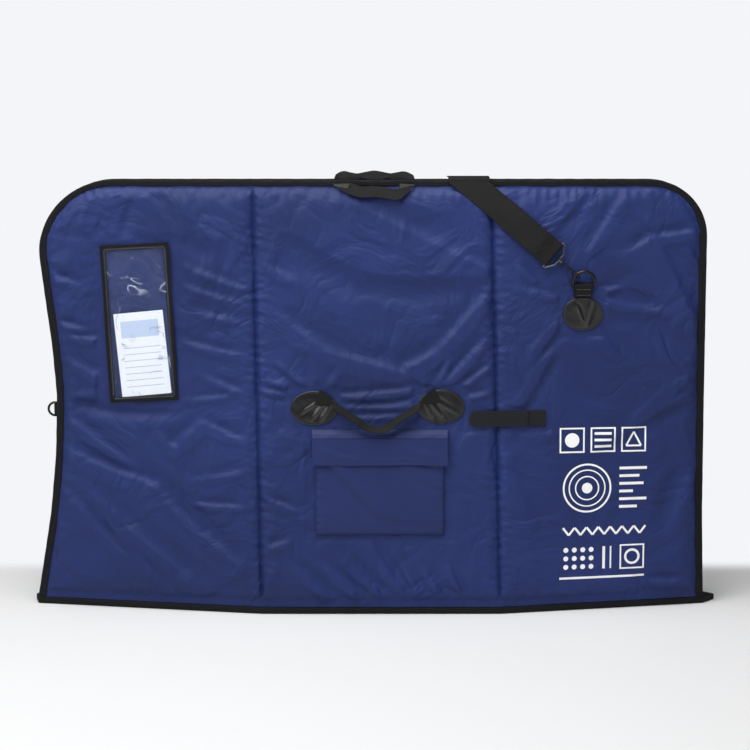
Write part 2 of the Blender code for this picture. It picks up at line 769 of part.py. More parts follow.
# Snap hooks, from the ring's wire outward along the pull of the strap
HOOK_BEND = 0.0065
HOOK_WIRE = 0.0019
HOOK_NECK = 0.0355
HOOK_SHOULDER = 0.0240
HOOK_TIP = 0.0060
GATE_WIRE = 0.0012
GATE_PIVOT = (0.0300, -0.0018)
BARREL_RADIUS = 0.0038
BARREL_LENGTH = 0.0080
EYE_WIRE = 0.0016
EYE_BAR = 0.0565
EYE_HALF = 0.0282
EYE_SHOULDER_HALF = 0.0120
STRAP_WIDTH = 0.050
STRAP_FOLD_BACK = 0.034
STRAP_ANGLE_FRONT = math.radians(139.2)
STRAP_ANGLE_BACK = math.radians(250.4)
RING_GRIP_FRONT = 135.0
RING_GRIP_BACK = 110.0


def webbing_loop(name, frame, width, length, bar_radius):
    """Webbing folded round a bar at the frame's origin, its two legs running down."""
    reach = bar_radius + LOOP_CLEARANCE + WEB / 2
    path = [(-length, -reach)]
    path += arc((0.0, 0.0), reach, -90, 90, 6)
    path.append((-length, LOOP_SHUT + WEB - reach))
    centres = [(0.0, up, out) for up, out in path]
    return ribbon(name, centres, [(width / 2, 0.0, 0.0)] * len(centres), WEB, WEBBING, frame)


def ring_points(width, height):
    radius = width / 2
    rise = height - radius
    return [(x, y, 0.0) for x, y in [(-radius, 0.0), (radius, 0.0)] + arc((0.0, rise), radius, 0, 180, 10)]


def joined(item, other):
    """Two solids made one. The second becomes a hidden helper."""
    graph = bpy.context.evaluated_depsgraph_get()
    pair = []
    for source in (item, other):
        mesh = bpy.data.meshes.new_from_object(source.evaluated_get(graph))
        builder = bmesh.new()
        builder.from_mesh(mesh)
        bmesh.ops.remove_doubles(builder, verts=builder.verts, dist=MERGE)
        builder.to_mesh(mesh)
        builder.free()
        name = source.name
        matrix = source.matrix_world.copy()
        bpy.data.objects.remove(source, do_unlink=True)
        made = bpy.data.objects.new(name, mesh)
        made.matrix_world = matrix
        pair.append(made)
    BAG.objects.link(pair[0])
    CUTTERS.objects.link(pair[1])
    pair[1].hide_render = True
    pair[1].display_type = "WIRE"
    union = pair[0].modifiers.new("join", "BOOLEAN")
    union.operation = "UNION"
    union.object = pair[1]
    return pair[0]


def snap_hook(place, grip):
    """Hook, gate, and the eye with its barrel, in a frame at the ring's wire with Y along the pull."""
    path = [(HOOK_NECK, 0.0), (HOOK_NECK - HOOK_BEND / 2, 0.0)]
    path += [(HOOK_SHOULDER, HOOK_BEND), (HOOK_TIP, HOOK_BEND)]
    path += [(-x, y) for x, y in arc((0.0, 0.0), HOOK_BEND, 90, -90, 8)]
    path.append((HOOK_TIP, -HOOK_BEND))
    wire(f"snap_hook_{place}", [(0.0, y, z) for y, z in path], HOOK_WIRE, BLACK_METAL, grip)
    gate_y, gate_z = GATE_PIVOT
    gate_frame = grip @ Matrix.Translation((0.0, gate_y, gate_z))
    gate_end = (0.0, HOOK_TIP + GAP - gate_y, -HOOK_BEND - gate_z)
    wire(f"snap_gate_{place}", [(0.0, 0.0, 0.0), gate_end], GATE_WIRE, BLACK_METAL, gate_frame)
    barrel_end = HOOK_NECK + GAP + BARREL_LENGTH
    half = EYE_HALF
    shoulder = EYE_SHOULDER_HALF
    low = barrel_end - EYE_WIRE
    high = EYE_BAR - 2 * EYE_WIRE
    eye = [(-half, EYE_BAR), (half, EYE_BAR), (half, high)]
    eye += [(shoulder, low), (-shoulder, low), (-half, high)]
    loop = wire(f"snap_eye_{place}", [(x, y, 0.0) for x, y in eye], EYE_WIRE, STEEL, grip, True)
    run = [(0.0, HOOK_NECK + GAP, 0.0), (0.0, barrel_end, 0.0)]
    barrel = wire("barrel", run, BARREL_RADIUS, BLACK_METAL, grip)
    bpy.context.view_layer.update()
    joined(loop, barrel)


def strap_ring(side, place, tilt, grip_at, pull):
    """Patch, loop, ring and hook on one panel. It gives back the hook's frame."""
    x = -side * HALF_WIDTH * RING_PATCH_AT_SHARES[0]
    z = HEIGHT * RING_PATCH_AT_SHARES[1]
    patch = face_frame(side, x, z)
    oval(f"ring_patch_{place}", *RING_PATCH_SIZE, PATCH_THICK, patch, BLACK_LEATHER)
    stand = PATCH_GAP + RING_RADIUS + LOOP_CLEARANCE + WEB
    bar = patch @ Matrix.Translation((0.0, RING_BAR_RISE, stand))
    webbing_loop(f"ring_tab_{place}", bar, RING_TAB_WIDTH, RING_TAB_LENGTH, RING_RADIUS)
    ring_frame = bar @ Matrix.Rotation(tilt, 4, "X")
    points = ring_points(RING_WIDTH, RING_HEIGHT)
    wire(f"d_ring_{place}", points, RING_RADIUS, BLACK_METAL, ring_frame, True)
    radius = RING_WIDTH / 2
    angle = math.radians(grip_at)
    wire_point = Vector((radius * math.cos(angle), RING_HEIGHT - radius + radius * math.sin(angle), 0.0))
    grip_place = bar.inverted() @ ring_frame @ wire_point
    grip = bar @ Matrix.Translation(grip_place) @ Matrix.Rotation(pull - math.pi / 2, 4, "Z")
    snap_hook(place, grip)
    return grip


def strap_fold(frame):
    """The strap's end, folded round the eye's bar: centres and half widths, from the tail."""
    reach = EYE_WIRE + LOOP_CLEARANCE + WEB / 2
    tail = (0.0, EYE_BAR + STRAP_FOLD_BACK, -(LOOP_SHUT + WEB) / 2)
    centres = [tail, (0.0, EYE_BAR + STRAP_FOLD_BACK / 2, -(LOOP_SHUT + WEB) / 2)]
    for turn in np.linspace(0.0, math.pi, 7):
        centres.append((0.0, EYE_BAR - reach * math.sin(turn), -reach * math.cos(turn)))
    centres.append((0.0, EYE_BAR + STRAP_FOLD_BACK / 2, (LOOP_SHUT + WEB) / 2))
    centres.append((0.0, EYE_BAR + STRAP_FOLD_BACK, (LOOP_SHUT + WEB) / 2))
    half = frame.to_3x3() @ Vector((STRAP_WIDTH / 2, 0.0, 0.0))
    return [placed(frame, centre) for centre in centres], [half.copy() for _ in centres]


# Where the strap lies on the top edge
TOP_CLEAR = 0.0095
TOP_ROUND = 0.0065
TOP_OVERHANG = 0.0025
STRAP_SHOULDER_DROP = 0.045
STRAP_FACE_STAND = 0.0020


def top_bend(side, x, slant):
    """The strap straight over the top edge on one side, from the panel's face to the middle."""
    depth = INNER_DEPTH + PANEL_FACE + TOP_OVERHANG
    rises = [(depth, -TOP_ROUND / 2), (depth - TOP_OVERHANG, TOP_ROUND)]
    rises += [(depth / 2, TOP_CLEAR), (GAP / 2, TOP_CLEAR)]
    half = Vector((STRAP_WIDTH / 2 / abs(math.sin(slant)), 0.0, 0.0))
    centres = [Vector((x, side * at, HEIGHT + rise)) for at, rise in rises]
    return centres, [half.copy() for _ in centres]


def shoulder_strap_front(frame):
    centres, halves = strap_fold(frame)
    run = frame.to_3x3() @ Vector((0.0, 1.0, 0.0))
    start = centres[-1]
    slant = math.atan2(run.z, run.x)
    shoulder = start + run * ((HEIGHT - STRAP_SHOULDER_DROP - start.z) / run.z)
    shoulder.y = -face_depth(shoulder.x, shoulder.z) - STRAP_FACE_STAND
    top_x = start.x + run.x * (HEIGHT - start.z) / run.z
    bend, bend_halves = top_bend(-1, top_x, slant)
    centres += [(start + shoulder) / 2, shoulder, *bend]
    across = halves[-1]
    halves += [across, bend_halves[0].copy(), *bend_halves]
    ribbon("shoulder_strap_front", centres, halves, WEB, WEBBING)
    return bend[-1].x


front_grip = strap_ring(-1, "front", RING_TILT_FRONT, RING_GRIP_FRONT, STRAP_ANGLE_FRONT)
back_grip = strap_ring(1, "back", RING_TILT_BACK, RING_GRIP_BACK, STRAP_ANGLE_BACK)
crossing_x = shoulder_strap_front(front_grip)

# The strap behind the bag: down from the top edge into a slack loop, and up to the back's hook.
# Each row: share of the half width, share of the height, stand off the panel and turn on edge
STRAP_BACK_SHARES = (
    (0.186, 0.950, 0.12, 0.00),
    (0.178, 0.830, 0.16, 0.00),
    (0.160, 0.715, 0.38, 0.30),
    (0.118, 0.605, 0.58, 0.75),
    (0.050, 0.497, 0.62, 1.00),
    (-0.045, 0.405, 0.62, 1.00),
    (-0.170, 0.362, 0.62, 1.00),
    (-0.305, 0.378, 0.62, 1.00),
    (-0.410, 0.432, 0.60, 0.80),
    (-0.470, 0.492, 0.46, 0.35),
)
STRAP_STRAIGHT = 0.110
ADJUSTER_SIZE = (0.060, 0.0080, 0.022)
ADJUSTER_WALL = 0.0027


def shoulder_strap_back(frame, crossing):
    bend, halves = top_bend(1, crossing, STRAP_ANGLE_FRONT)
    centres = list(reversed(bend))
    narrow = Vector((STRAP_WIDTH / 2, 0.0, 0.0))
    halves = [halves[0].copy() for _ in bend]
    halves[-1] = narrow.copy()
    places = []
    for x_share, z_share, stand_share, turn in STRAP_BACK_SHARES:
        x = HALF_WIDTH * x_share
        z = HEIGHT * z_share
        places.append((Vector((x, face_depth(x, z) + STRAP_WIDTH * stand_share, z)), turn * math.pi / 2))
    fold, fold_halves = strap_fold(frame)
    straight = frame.to_3x3() @ Vector((0.0, 1.0, 0.0))
    knee = fold[-1] + straight * STRAP_STRAIGHT
    for i, (centre, turn) in enumerate(places):
        before = places[i - 1][0] if i else centres[-1]
        after = places[i + 1][0] if i + 1 < len(places) else knee
        run = after - before
        run.y = 0.0
        run.normalize()
        across = Vector((-run.z, 0.0, run.x)) * math.cos(turn) + Vector((0.0, 1.0, 0.0)) * math.sin(turn)
        centres.append(centre)
        halves.append(across * STRAP_WIDTH / 2)
    lateral = fold_halves[-1]
    if lateral.dot(halves[-1]) < 0:
        fold_halves = [-half for half in fold_halves]
    for share in (1.0, 0.5):
        centres.append(fold[-1] + straight * STRAP_STRAIGHT * share)
        halves.append(fold_halves[-1].copy())
    centres += reversed(fold)
    halves += reversed(fold_halves)
    ribbon("shoulder_strap_back", centres, halves, WEB, WEBBING)


def strap_adjuster(frame):
    """A slider round the straight run of the strap, looking along the pull."""
    width, high, long = ADJUSTER_SIZE
    start = EYE_BAR + STRAP_FOLD_BACK + GAP
    turn = Matrix.Translation((0.0, start, (LOOP_SHUT + WEB) / 2)) @ Matrix.Rotation(-math.pi / 2, 4, "X")
    square_ring("strap_adjuster", (width, high), ADJUSTER_WALL, long, frame @ turn, BLACK_METAL)


shoulder_strap_back(back_grip, crossing_x)
strap_adjuster(back_grip)

# Zip sliders, which meet at the middle of the top, and their pull tabs
SLIDER_AT = 0.022
SLIDER_LENGTH = 0.013
SLIDER_DEPTH = 0.0060
SLIDER_PLATE = 0.0014
SLIDER_CLEAR = 0.0004
SLIDER_WEB = 0.0004
PULL_LENGTH = 0.027
PULL_WIDTH = 0.0075
PULL_THICK = 0.0012


def zip_slider(place, direction):
    inner = COIL_HEIGHT / 2 + SLIDER_CLEAR
    outer = inner + SLIDER_PLATE
    d = SLIDER_DEPTH
    w = SLIDER_WEB
    quarter = [(d, inner), (w, inner), (w, -inner), (d, -inner), (d, -outer)]
    outline = quarter + [(-x, y) for x, y in reversed(quarter)] + [(-d, outer), (d, outer)]
    x = direction * SLIDER_AT
    frame = Matrix.Translation((x, 0.0, HEIGHT)) @ Matrix.Rotation(math.pi / 2, 4, "Z")
    frame = frame @ Matrix.Rotation(math.pi / 2, 4, "X")
    plate(f"zip_slider_{place}", outline, -SLIDER_LENGTH / 2, SLIDER_LENGTH / 2, BLACK_METAL, frame)
    hinge = x + direction * SLIDER_LENGTH / 4
    half_pull = PULL_THICK / 2
    pull = Matrix.Translation((hinge, 0.0, HEIGHT + outer + GAP + half_pull))
    far = direction * PULL_LENGTH
    low, high = sorted((0.0, far))
    outline = rectangle(high - low, PULL_WIDTH, (low + high) / 2)
    plate(f"zip_pull_{place}", outline, -half_pull, half_pull, BLACK_METAL, pull)


zip_slider("left", -1)
zip_slider("right", 1)

# Side ring on the left edge, held by a tab in the binding
SIDE_RING_Z_SHARE = 0.458
SIDE_TAB_WIDTH = 0.020
SIDE_TAB_LENGTH = 0.0074
SIDE_RING_SIZE = (0.0250, 0.0145)
SIDE_RING_RADIUS = 0.0015


def side_ring():
    z = HEIGHT * SIDE_RING_Z_SHARE
    x = left_edge(z) - BINDING - 4 * GAP - SIDE_TAB_LENGTH
    depth = INNER_DEPTH + OUTER_RISE / 2
    axes = Matrix(((0.0, -1.0, 0.0), (0.0, 0.0, -1.0), (1.0, 0.0, 0.0))).to_4x4()
    frame = Matrix.Translation((x, depth, z)) @ axes
    webbing_loop("side_ring_tab", frame, SIDE_TAB_WIDTH, SIDE_TAB_LENGTH, SIDE_RING_RADIUS)
    wire("d_ring_side", ring_points(*SIDE_RING_SIZE), SIDE_RING_RADIUS, BLACK_METAL, frame, True)


side_ring()

# The front half turns on its bottom seam, so its pieces hang from an empty there
FRONT_PIECES = (
    "front_",
    "zip_tape_front",
    "zip_coil_front",
    "window_",
    "id_card",
    "pocket_",
    "handle_patch_",
    "carry_handle",
    "closure_strap",
    "top_handle_front",
    "ring_patch_front",
    "ring_tab_front",
    "d_ring_front",
    "snap_hook_front",
    "snap_gate_front",
    "snap_eye_front",
    "shoulder_strap_front",
)


def hinge_front():
    hinge = bpy.data.objects.new("front_hinge", None)
    hinge.location = (0.0, -base_depth(0.0, SEAM_HEIGHT) - OUTER_RISE, SEAM_HEIGHT)
    BAG.objects.link(hinge)
    bpy.context.view_layer.update()
    for item in BAG.objects:
        if item is not hinge and item.name.startswith(FRONT_PIECES):
            item.parent = hinge
            item.matrix_parent_inverse = hinge.matrix_world.inverted()


hinge_front()
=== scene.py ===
"""Soft bike travel bag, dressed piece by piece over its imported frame, on a pale studio floor."""

import math

import bpy
import numpy as np
from mathutils import Matrix, Vector
from mathutils.bvhtree import BVHTree


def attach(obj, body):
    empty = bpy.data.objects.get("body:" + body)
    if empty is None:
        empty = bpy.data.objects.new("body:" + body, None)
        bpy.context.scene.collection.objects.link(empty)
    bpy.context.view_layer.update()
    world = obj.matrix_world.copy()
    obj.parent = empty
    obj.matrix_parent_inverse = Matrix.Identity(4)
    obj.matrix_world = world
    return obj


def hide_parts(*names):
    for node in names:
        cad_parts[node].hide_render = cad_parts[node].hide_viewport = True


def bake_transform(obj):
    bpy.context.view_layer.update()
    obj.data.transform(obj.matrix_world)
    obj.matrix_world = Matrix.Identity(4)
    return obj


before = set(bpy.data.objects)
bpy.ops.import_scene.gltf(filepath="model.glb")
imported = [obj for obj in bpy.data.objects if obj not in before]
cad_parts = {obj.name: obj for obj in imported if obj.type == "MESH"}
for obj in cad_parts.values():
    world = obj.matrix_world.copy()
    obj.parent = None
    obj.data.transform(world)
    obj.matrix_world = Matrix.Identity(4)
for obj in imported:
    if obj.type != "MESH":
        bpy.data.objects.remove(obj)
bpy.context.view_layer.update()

# Studio. A photographer's short tele lens looks a little down at the bag from 3.5 m away. The floor is
# matte vinyl that meets a glowing white sheet just behind the bag, under three wide soft boxes.
CAMERA_AT = (0.0, -3.5, 0.98)
CAMERA_DOWN = math.radians(8.855)
CAMERA_LENS, CAMERA_SENSOR = 90.4, 36.0
FLOOR_SIZE, FLOOR_SINK = 14.0, 0.0006
BACKDROP_AT, BACKDROP_FADE = 0.20, 0.10
FLOOR_GREY, BACKDROP_WHITE = "#dadada", "#f4f5f8"
WORLD_SHARE = 0.15
FLOOR_NEAR, FLOOR_FAR = 1.2, 2.3
SOFT_BOXES = (
    ("key_soft_box", (-2.4, -2.0, 2.7), (0.0, 0.0, 0.35), 2.6, 66.0),
    ("fill_soft_box", (2.4, -3.2, 1.2), (0.0, 0.0, 0.35), 1.8, 12.0),
    ("top_soft_box", (-0.3, -0.9, 3.2), (0.0, -0.3, 0.0), 2.4, 120.0),
)


def colour(code):
    """An sRGB hex colour as the linear colour that Blender mixes."""
    shares = [int(code[i : i + 2], 16) / 255 for i in (1, 3, 5)]
    linear = [c / 12.92 if c <= 0.04045 else ((c + 0.055) / 1.055) ** 2.4 for c in shares]
    return (*linear, 1.0)


def add_node(tree, kind, inputs=None, to=None, **settings):
    """Adds one node with its settings. Each input named takes a value, an output or a node's first output,
    and the new node's own first output goes to the input given."""
    made = tree.nodes.new("ShaderNode" + kind)
    for name, value in settings.items():
        setattr(made, name, value)
    for name, value in (inputs or {}).items():
        if isinstance(value, bpy.types.Node):
            value = value.outputs[0]
        if isinstance(value, bpy.types.NodeSocket):
            tree.links.new(value, made.inputs[name])
        else:
            made.inputs[name].default_value = value
    if to:
        tree.links.new(made.outputs[0], to)
    return made


def new_material(name, code, roughness, **more):
    """A Principled material of one base colour, with its tree, its shader and its place in metres."""
    material = bpy.data.materials.new(name)
    material.use_nodes = True
    tree = material.node_tree
    shader = tree.nodes["Principled BSDF"]
    for socket, value in {"Base_Color": colour(code), "Roughness": roughness, **more}.items():
        shader.inputs[socket.replace("_", " ")].default_value = value
    return material, tree, shader, add_node(tree, "TexCoord").outputs["Object"]


def deselect():
    bpy.ops.object.select_all(action="DESELECT")


bpy.ops.object.camera_add(location=CAMERA_AT, rotation=(math.pi / 2 - CAMERA_DOWN, 0.0, 0.0))
camera = bpy.context.object
camera.data.lens = CAMERA_LENS
camera.data.sensor_width = CAMERA_SENSOR
bpy.context.scene.camera = camera

deselect()
bpy.ops.mesh.primitive_plane_add(size=FLOOR_SIZE, location=(0.0, 0.0, -FLOOR_SINK))
studio_floor = bpy.context.object
studio_floor.name = "studio_floor"
bpy.ops.object.transform_apply(location=True)
floor_vinyl, tree, shader, place = new_material("matte_floor_vinyl", FLOOR_GREY, 0.62)
depth = add_node(tree, "SeparateXYZ", {"Vector": place}).outputs["Y"]
fade = {"Value": depth, "From Min": BACKDROP_AT, "From Max": BACKDROP_AT + BACKDROP_FADE}
behind = add_node(tree, "MapRange", fade, interpolation_type="SMOOTHSTEP")
reach = add_node(tree, "VectorMath", {0: place}, operation="LENGTH").outputs["Value"]
fade = {"Value": reach, "From Min": FLOOR_NEAR, "From Max": FLOOR_FAR}
away = add_node(tree, "MapRange", fade, interpolation_type="SMOOTHSTEP")
paler = add_node(tree, "Math", {0: behind, 1: away}, operation="MAXIMUM")
sheet_glow = add_node(tree, "Emission", {"Color": colour(BACKDROP_WHITE), "Strength": 1.0})
mixed = {0: paler, 1: shader.outputs["BSDF"], 2: sheet_glow.outputs["Emission"]}
ending = next(n for n in tree.nodes if n.type == "OUTPUT_MATERIAL")
tree.links.new(add_node(tree, "MixShader", mixed).outputs["Shader"], ending.inputs["Surface"])
studio_floor.data.materials.append(floor_vinyl)

world = bpy.context.scene.world or bpy.data.worlds.new("studio_air")
bpy.context.scene.world = world
world.use_nodes = True
tree = world.node_tree
air = next(n for n in tree.nodes if n.type == "BACKGROUND")
seen = add_node(tree, "LightPath").outputs["Is Camera Ray"]
air.inputs["Color"].default_value = colour(BACKDROP_WHITE)
add_node(tree, "MapRange", {"Value": seen, "To Min": WORLD_SHARE}, to=air.inputs["Strength"])

for name, at, aim, size, power in SOFT_BOXES:
    deselect()
    bpy.ops.object.light_add(type="AREA", location=at)
    lamp = bpy.context.object
    lamp.name = name
    lamp.data.size = size
    lamp.data.energy = power
    lamp.rotation_euler = (Vector(aim) - Vector(at)).to_track_quat("-Z", "Y").to_euler()
bpy.context.scene.view_settings.view_transform = "Standard"

# Panels. Each is coated navy nylon taffeta over foam sheets, sewn down in a strip round the edge and
# along two fold lines, so it stands in three soft sections. The cloth is cut a little larger than the
# foam, and a short cloth simulation lets the spare width pucker between the seams.
MM = 0.001
HEIGHT, HALF_WIDTH = 0.800, 0.620
BULGE, INNER_DEPTH = 0.075, 0.021
CORNER_LEFT, CORNER_RIGHT = 0.140, 0.105
SEAM_Z = 0.0123
CLOTH, RISE, FOAM = 0.0008, 0.0024, 0.0098
EDGE_SEAM = 0.0142
FOLD_STEPS = (0.0015, 0.0035)
LEFT_EDGE = (
    (0.0, 1.034), (0.22, 0.985), (0.36, 0.9655), (0.50, 0.958),
    (0.62, 0.969), (0.73, 0.986), (0.84, 1.002), (1.0, 1.004),
)
RIGHT_EDGE = ((0.0, 1.005), (0.22, 0.995), (0.50, 0.991), (0.84, 0.988), (1.0, 0.988))
CELL = 0.0068
SLACK_SHARE = 0.022
CLOTH_FRAMES = 22


def eased(shares, side):
    """The line through these shares of the half width with its corners eased, as cloth draws it."""
    heights = np.linspace(-0.2, 1.2, 281)
    values = np.interp(heights, [row[0] for row in shares], [row[1] for row in shares])
    values = np.convolve(np.pad(values, 9, mode="edge"), np.hanning(21)[1:-1] / 10.0, mode="valid")
    return lambda z: side * HALF_WIDTH * np.interp(np.asarray(z) / HEIGHT, heights, values)


left_edge = eased(LEFT_EDGE, -1)
right_edge = eased(RIGHT_EDGE, 1)


def left_fold(z):
    return HALF_WIDTH * (-0.339 - 0.024 * np.asarray(z) / HEIGHT)


def right_fold(z):
    return HALF_WIDTH * (0.377 - 0.030 * np.asarray(z) / HEIGHT)


def base_depth(x, z):
    """How far a panel's inside stands from the middle plane."""
    x, z = np.asarray(x, float), np.asarray(z, float)
    left = (x - left_edge(z)) / (left_fold(z) - left_edge(z))
    right = (right_edge(z) - x) / (right_edge(z) - right_fold(z))
    share = np.clip(np.minimum(np.minimum(left, right), 1.0), 0.0, 1.0)
    return INNER_DEPTH + BULGE * share * (1.0 - z / HEIGHT)


def from_side(x, z):
    return np.minimum(x - left_edge(z), right_edge(z) - x)


def from_fold(x, z):
    return np.minimum(np.abs(x - left_fold(z)), np.abs(x - right_fold(z)))


def rounded(across, down, radius):
    """Grid points near a top corner, moved in from the side and down from the top onto the round."""
    near = (across < radius) & (down < radius)
    reach = np.maximum(radius - np.minimum(across, down), 1e-9)
    first = math.pi / 4 * (radius - down) / reach
    second = math.pi / 2 - math.pi / 4 * (radius - across) / reach
    angle = np.where(across <= down, first, second)
    new_across = np.where(near, radius - reach * np.cos(angle), across)
    return new_across, np.where(near, radius - reach * np.sin(angle), down)


def steps(length):
    return max(int(round(length / CELL)), 2)


def section_shares(length, folded_ends):
    """Even shares across a section, with closer ones beside the fold at each end named."""
    shares = set(np.linspace(0.0, 1.0, steps(length) + 1).tolist())
    for end in folded_ends:
        shares |= {abs(end - step / length) for step in FOLD_STEPS}
    return sorted(shares)[1:]


def panel_places():
    """Each grid point's x, z, distance from the edge and distance from a fold, by rows from the seam up."""
    z = np.linspace(SEAM_Z, HEIGHT, steps(HEIGHT) + 1)
    xs, zs, edges = [], [], []

    def add(x, height, edge):
        xs.append(x)
        zs.append(height)
        edges.append(np.minimum(edge, z - SEAM_Z))

    def add_corner(share, radius, edge_line, side):
        across, down = rounded(np.full_like(z, share * radius), HEIGHT - z, radius)
        add(edge_line(HEIGHT - down) - side * across, HEIGHT - down, np.minimum(share * radius, HEIGHT - z))

    def add_section(length, folded_ends, start, end):
        for share in section_shares(length, folded_ends):
            x = start * (1.0 - share) + end * share
            add(x, z, np.minimum(HEIGHT - z, from_side(x, z)))

    for share in np.linspace(0.0, 1.0, steps(CORNER_LEFT) + 1):
        add_corner(share, CORNER_LEFT, left_edge, -1)
    inner = (HALF_WIDTH * 0.95 - CORNER_LEFT) - HALF_WIDTH * 0.35
    add_section(inner, (1,), left_edge(z) + CORNER_LEFT, left_fold(z))
    add_section(HALF_WIDTH * 0.71, (0, 1), left_fold(z), right_fold(z))
    inner = (HALF_WIDTH * 0.99 - CORNER_RIGHT) - HALF_WIDTH * 0.36
    add_section(inner, (0,), right_fold(z), right_edge(z) - CORNER_RIGHT)
    for share in np.linspace(1.0, 0.0, steps(CORNER_RIGHT) + 1)[1:]:
        add_corner(share, CORNER_RIGHT, right_edge, 1)
    x, z = np.array(xs).T, np.array(zs).T
    return x, z, np.array(edges).T, from_fold(x, z)


grid_x, grid_z, grid_edge, grid_fold = panel_places()
ROWS, COLUMNS = grid_x.shape


def grid_faces(rows, columns, turned):
    """The squares of a grid of points. Turned, they face the other way."""
    faces = []
    for row in range(rows - 1):
        for column in range(columns - 1):
            a = row * columns + column
            square = (a, a + 1, a + columns + 1, a + columns)
            faces.append(square[::-1] if turned else square)
    return faces


def new_mesh(name, points, faces):
    mesh = bpy.data.meshes.new(name)
    mesh.from_pydata([tuple(float(v) for v in p) for p in points], [], faces)
    mesh.update()
    item = bpy.data.objects.new(name, mesh)
    bpy.context.scene.collection.objects.link(item)
    return item


def grid_mesh(name, x, y, z, turned):
    """One sheet through a grid of places."""
    return new_mesh(name, np.stack([x, y, z], axis=2).reshape(-1, 3), grid_faces(*x.shape, turned))


def make_active(item):
    deselect()
    item.select_set(True)
    bpy.context.view_layer.objects.active = item


def finish_modifier(item, kind, **settings):
    """Adds a modifier with its settings and applies it."""
    modifier = item.modifiers.new(kind.lower(), kind)
    for name, value in settings.items():
        setattr(modifier, name, value)
    make_active(item)
    bpy.ops.object.modifier_apply(modifier=modifier.name)


def shade(item, angle=None):
    make_active(item)
    if angle is None:
        bpy.ops.object.shade_smooth()
    else:
        bpy.ops.object.shade_smooth_by_angle(angle=math.radians(angle))
    return item


def swell(edge, fold):
    """The foam's height under the cloth, rising from the seams round it."""
    by_edge = 1.0 - np.exp(-np.maximum(edge - EDGE_SEAM, 0.0) / 0.0085)
    by_fold = 1.0 - np.exp(-np.maximum(fold - 0.0006, 0.0) / 0.0042)
    return FOAM * np.minimum(by_edge, by_fold)


def crease(x, z, start, end, height, width, skew=0.25):
    """A soft fold of spare cloth from one (x, z) to another: a ridge with a shallow valley beside it."""
    run = np.array(end) - np.array(start)
    length = np.hypot(*run)
    along = ((x - start[0]) * run[0] + (z - start[1]) * run[1]) / length
    off = ((x - start[0]) * -run[1] + (z - start[1]) * run[0]) / length
    share = np.clip(along / length, 0.0, 1.0)
    taper = np.sin(math.pi * (0.04 + 0.92 * share)) ** 0.8
    beyond = np.maximum(np.maximum(-along, along - length), 0.0)
    fade = np.exp(-((beyond / (1.6 * width)) ** 2))
    bow = off + 0.10 * length * skew * (4 * share * (1 - share))
    ridge = np.exp(-((bow / width) ** 2)) - 0.55 * np.exp(-(((bow - 1.7 * width) / (1.2 * width)) ** 2))
    return height * taper * fade * ridge


def ripples(along, from_seam, reach, height, pitch, seed):
    """Short puckers across a seam, uneven in pitch and height, fading within their reach."""
    rng = np.random.default_rng(seed)
    knots = np.arange(-1.0, 2.0, pitch * 1.7)
    shift = np.interp(along, knots, rng.uniform(-1.0, 1.0, len(knots)))
    size = np.interp(along, knots, rng.uniform(0.15, 1.0, len(knots)))
    wave = np.sin(2 * math.pi * along / pitch + 2.2 * shift)
    return height * size * wave * np.exp(-((from_seam / reach) ** 1.3))


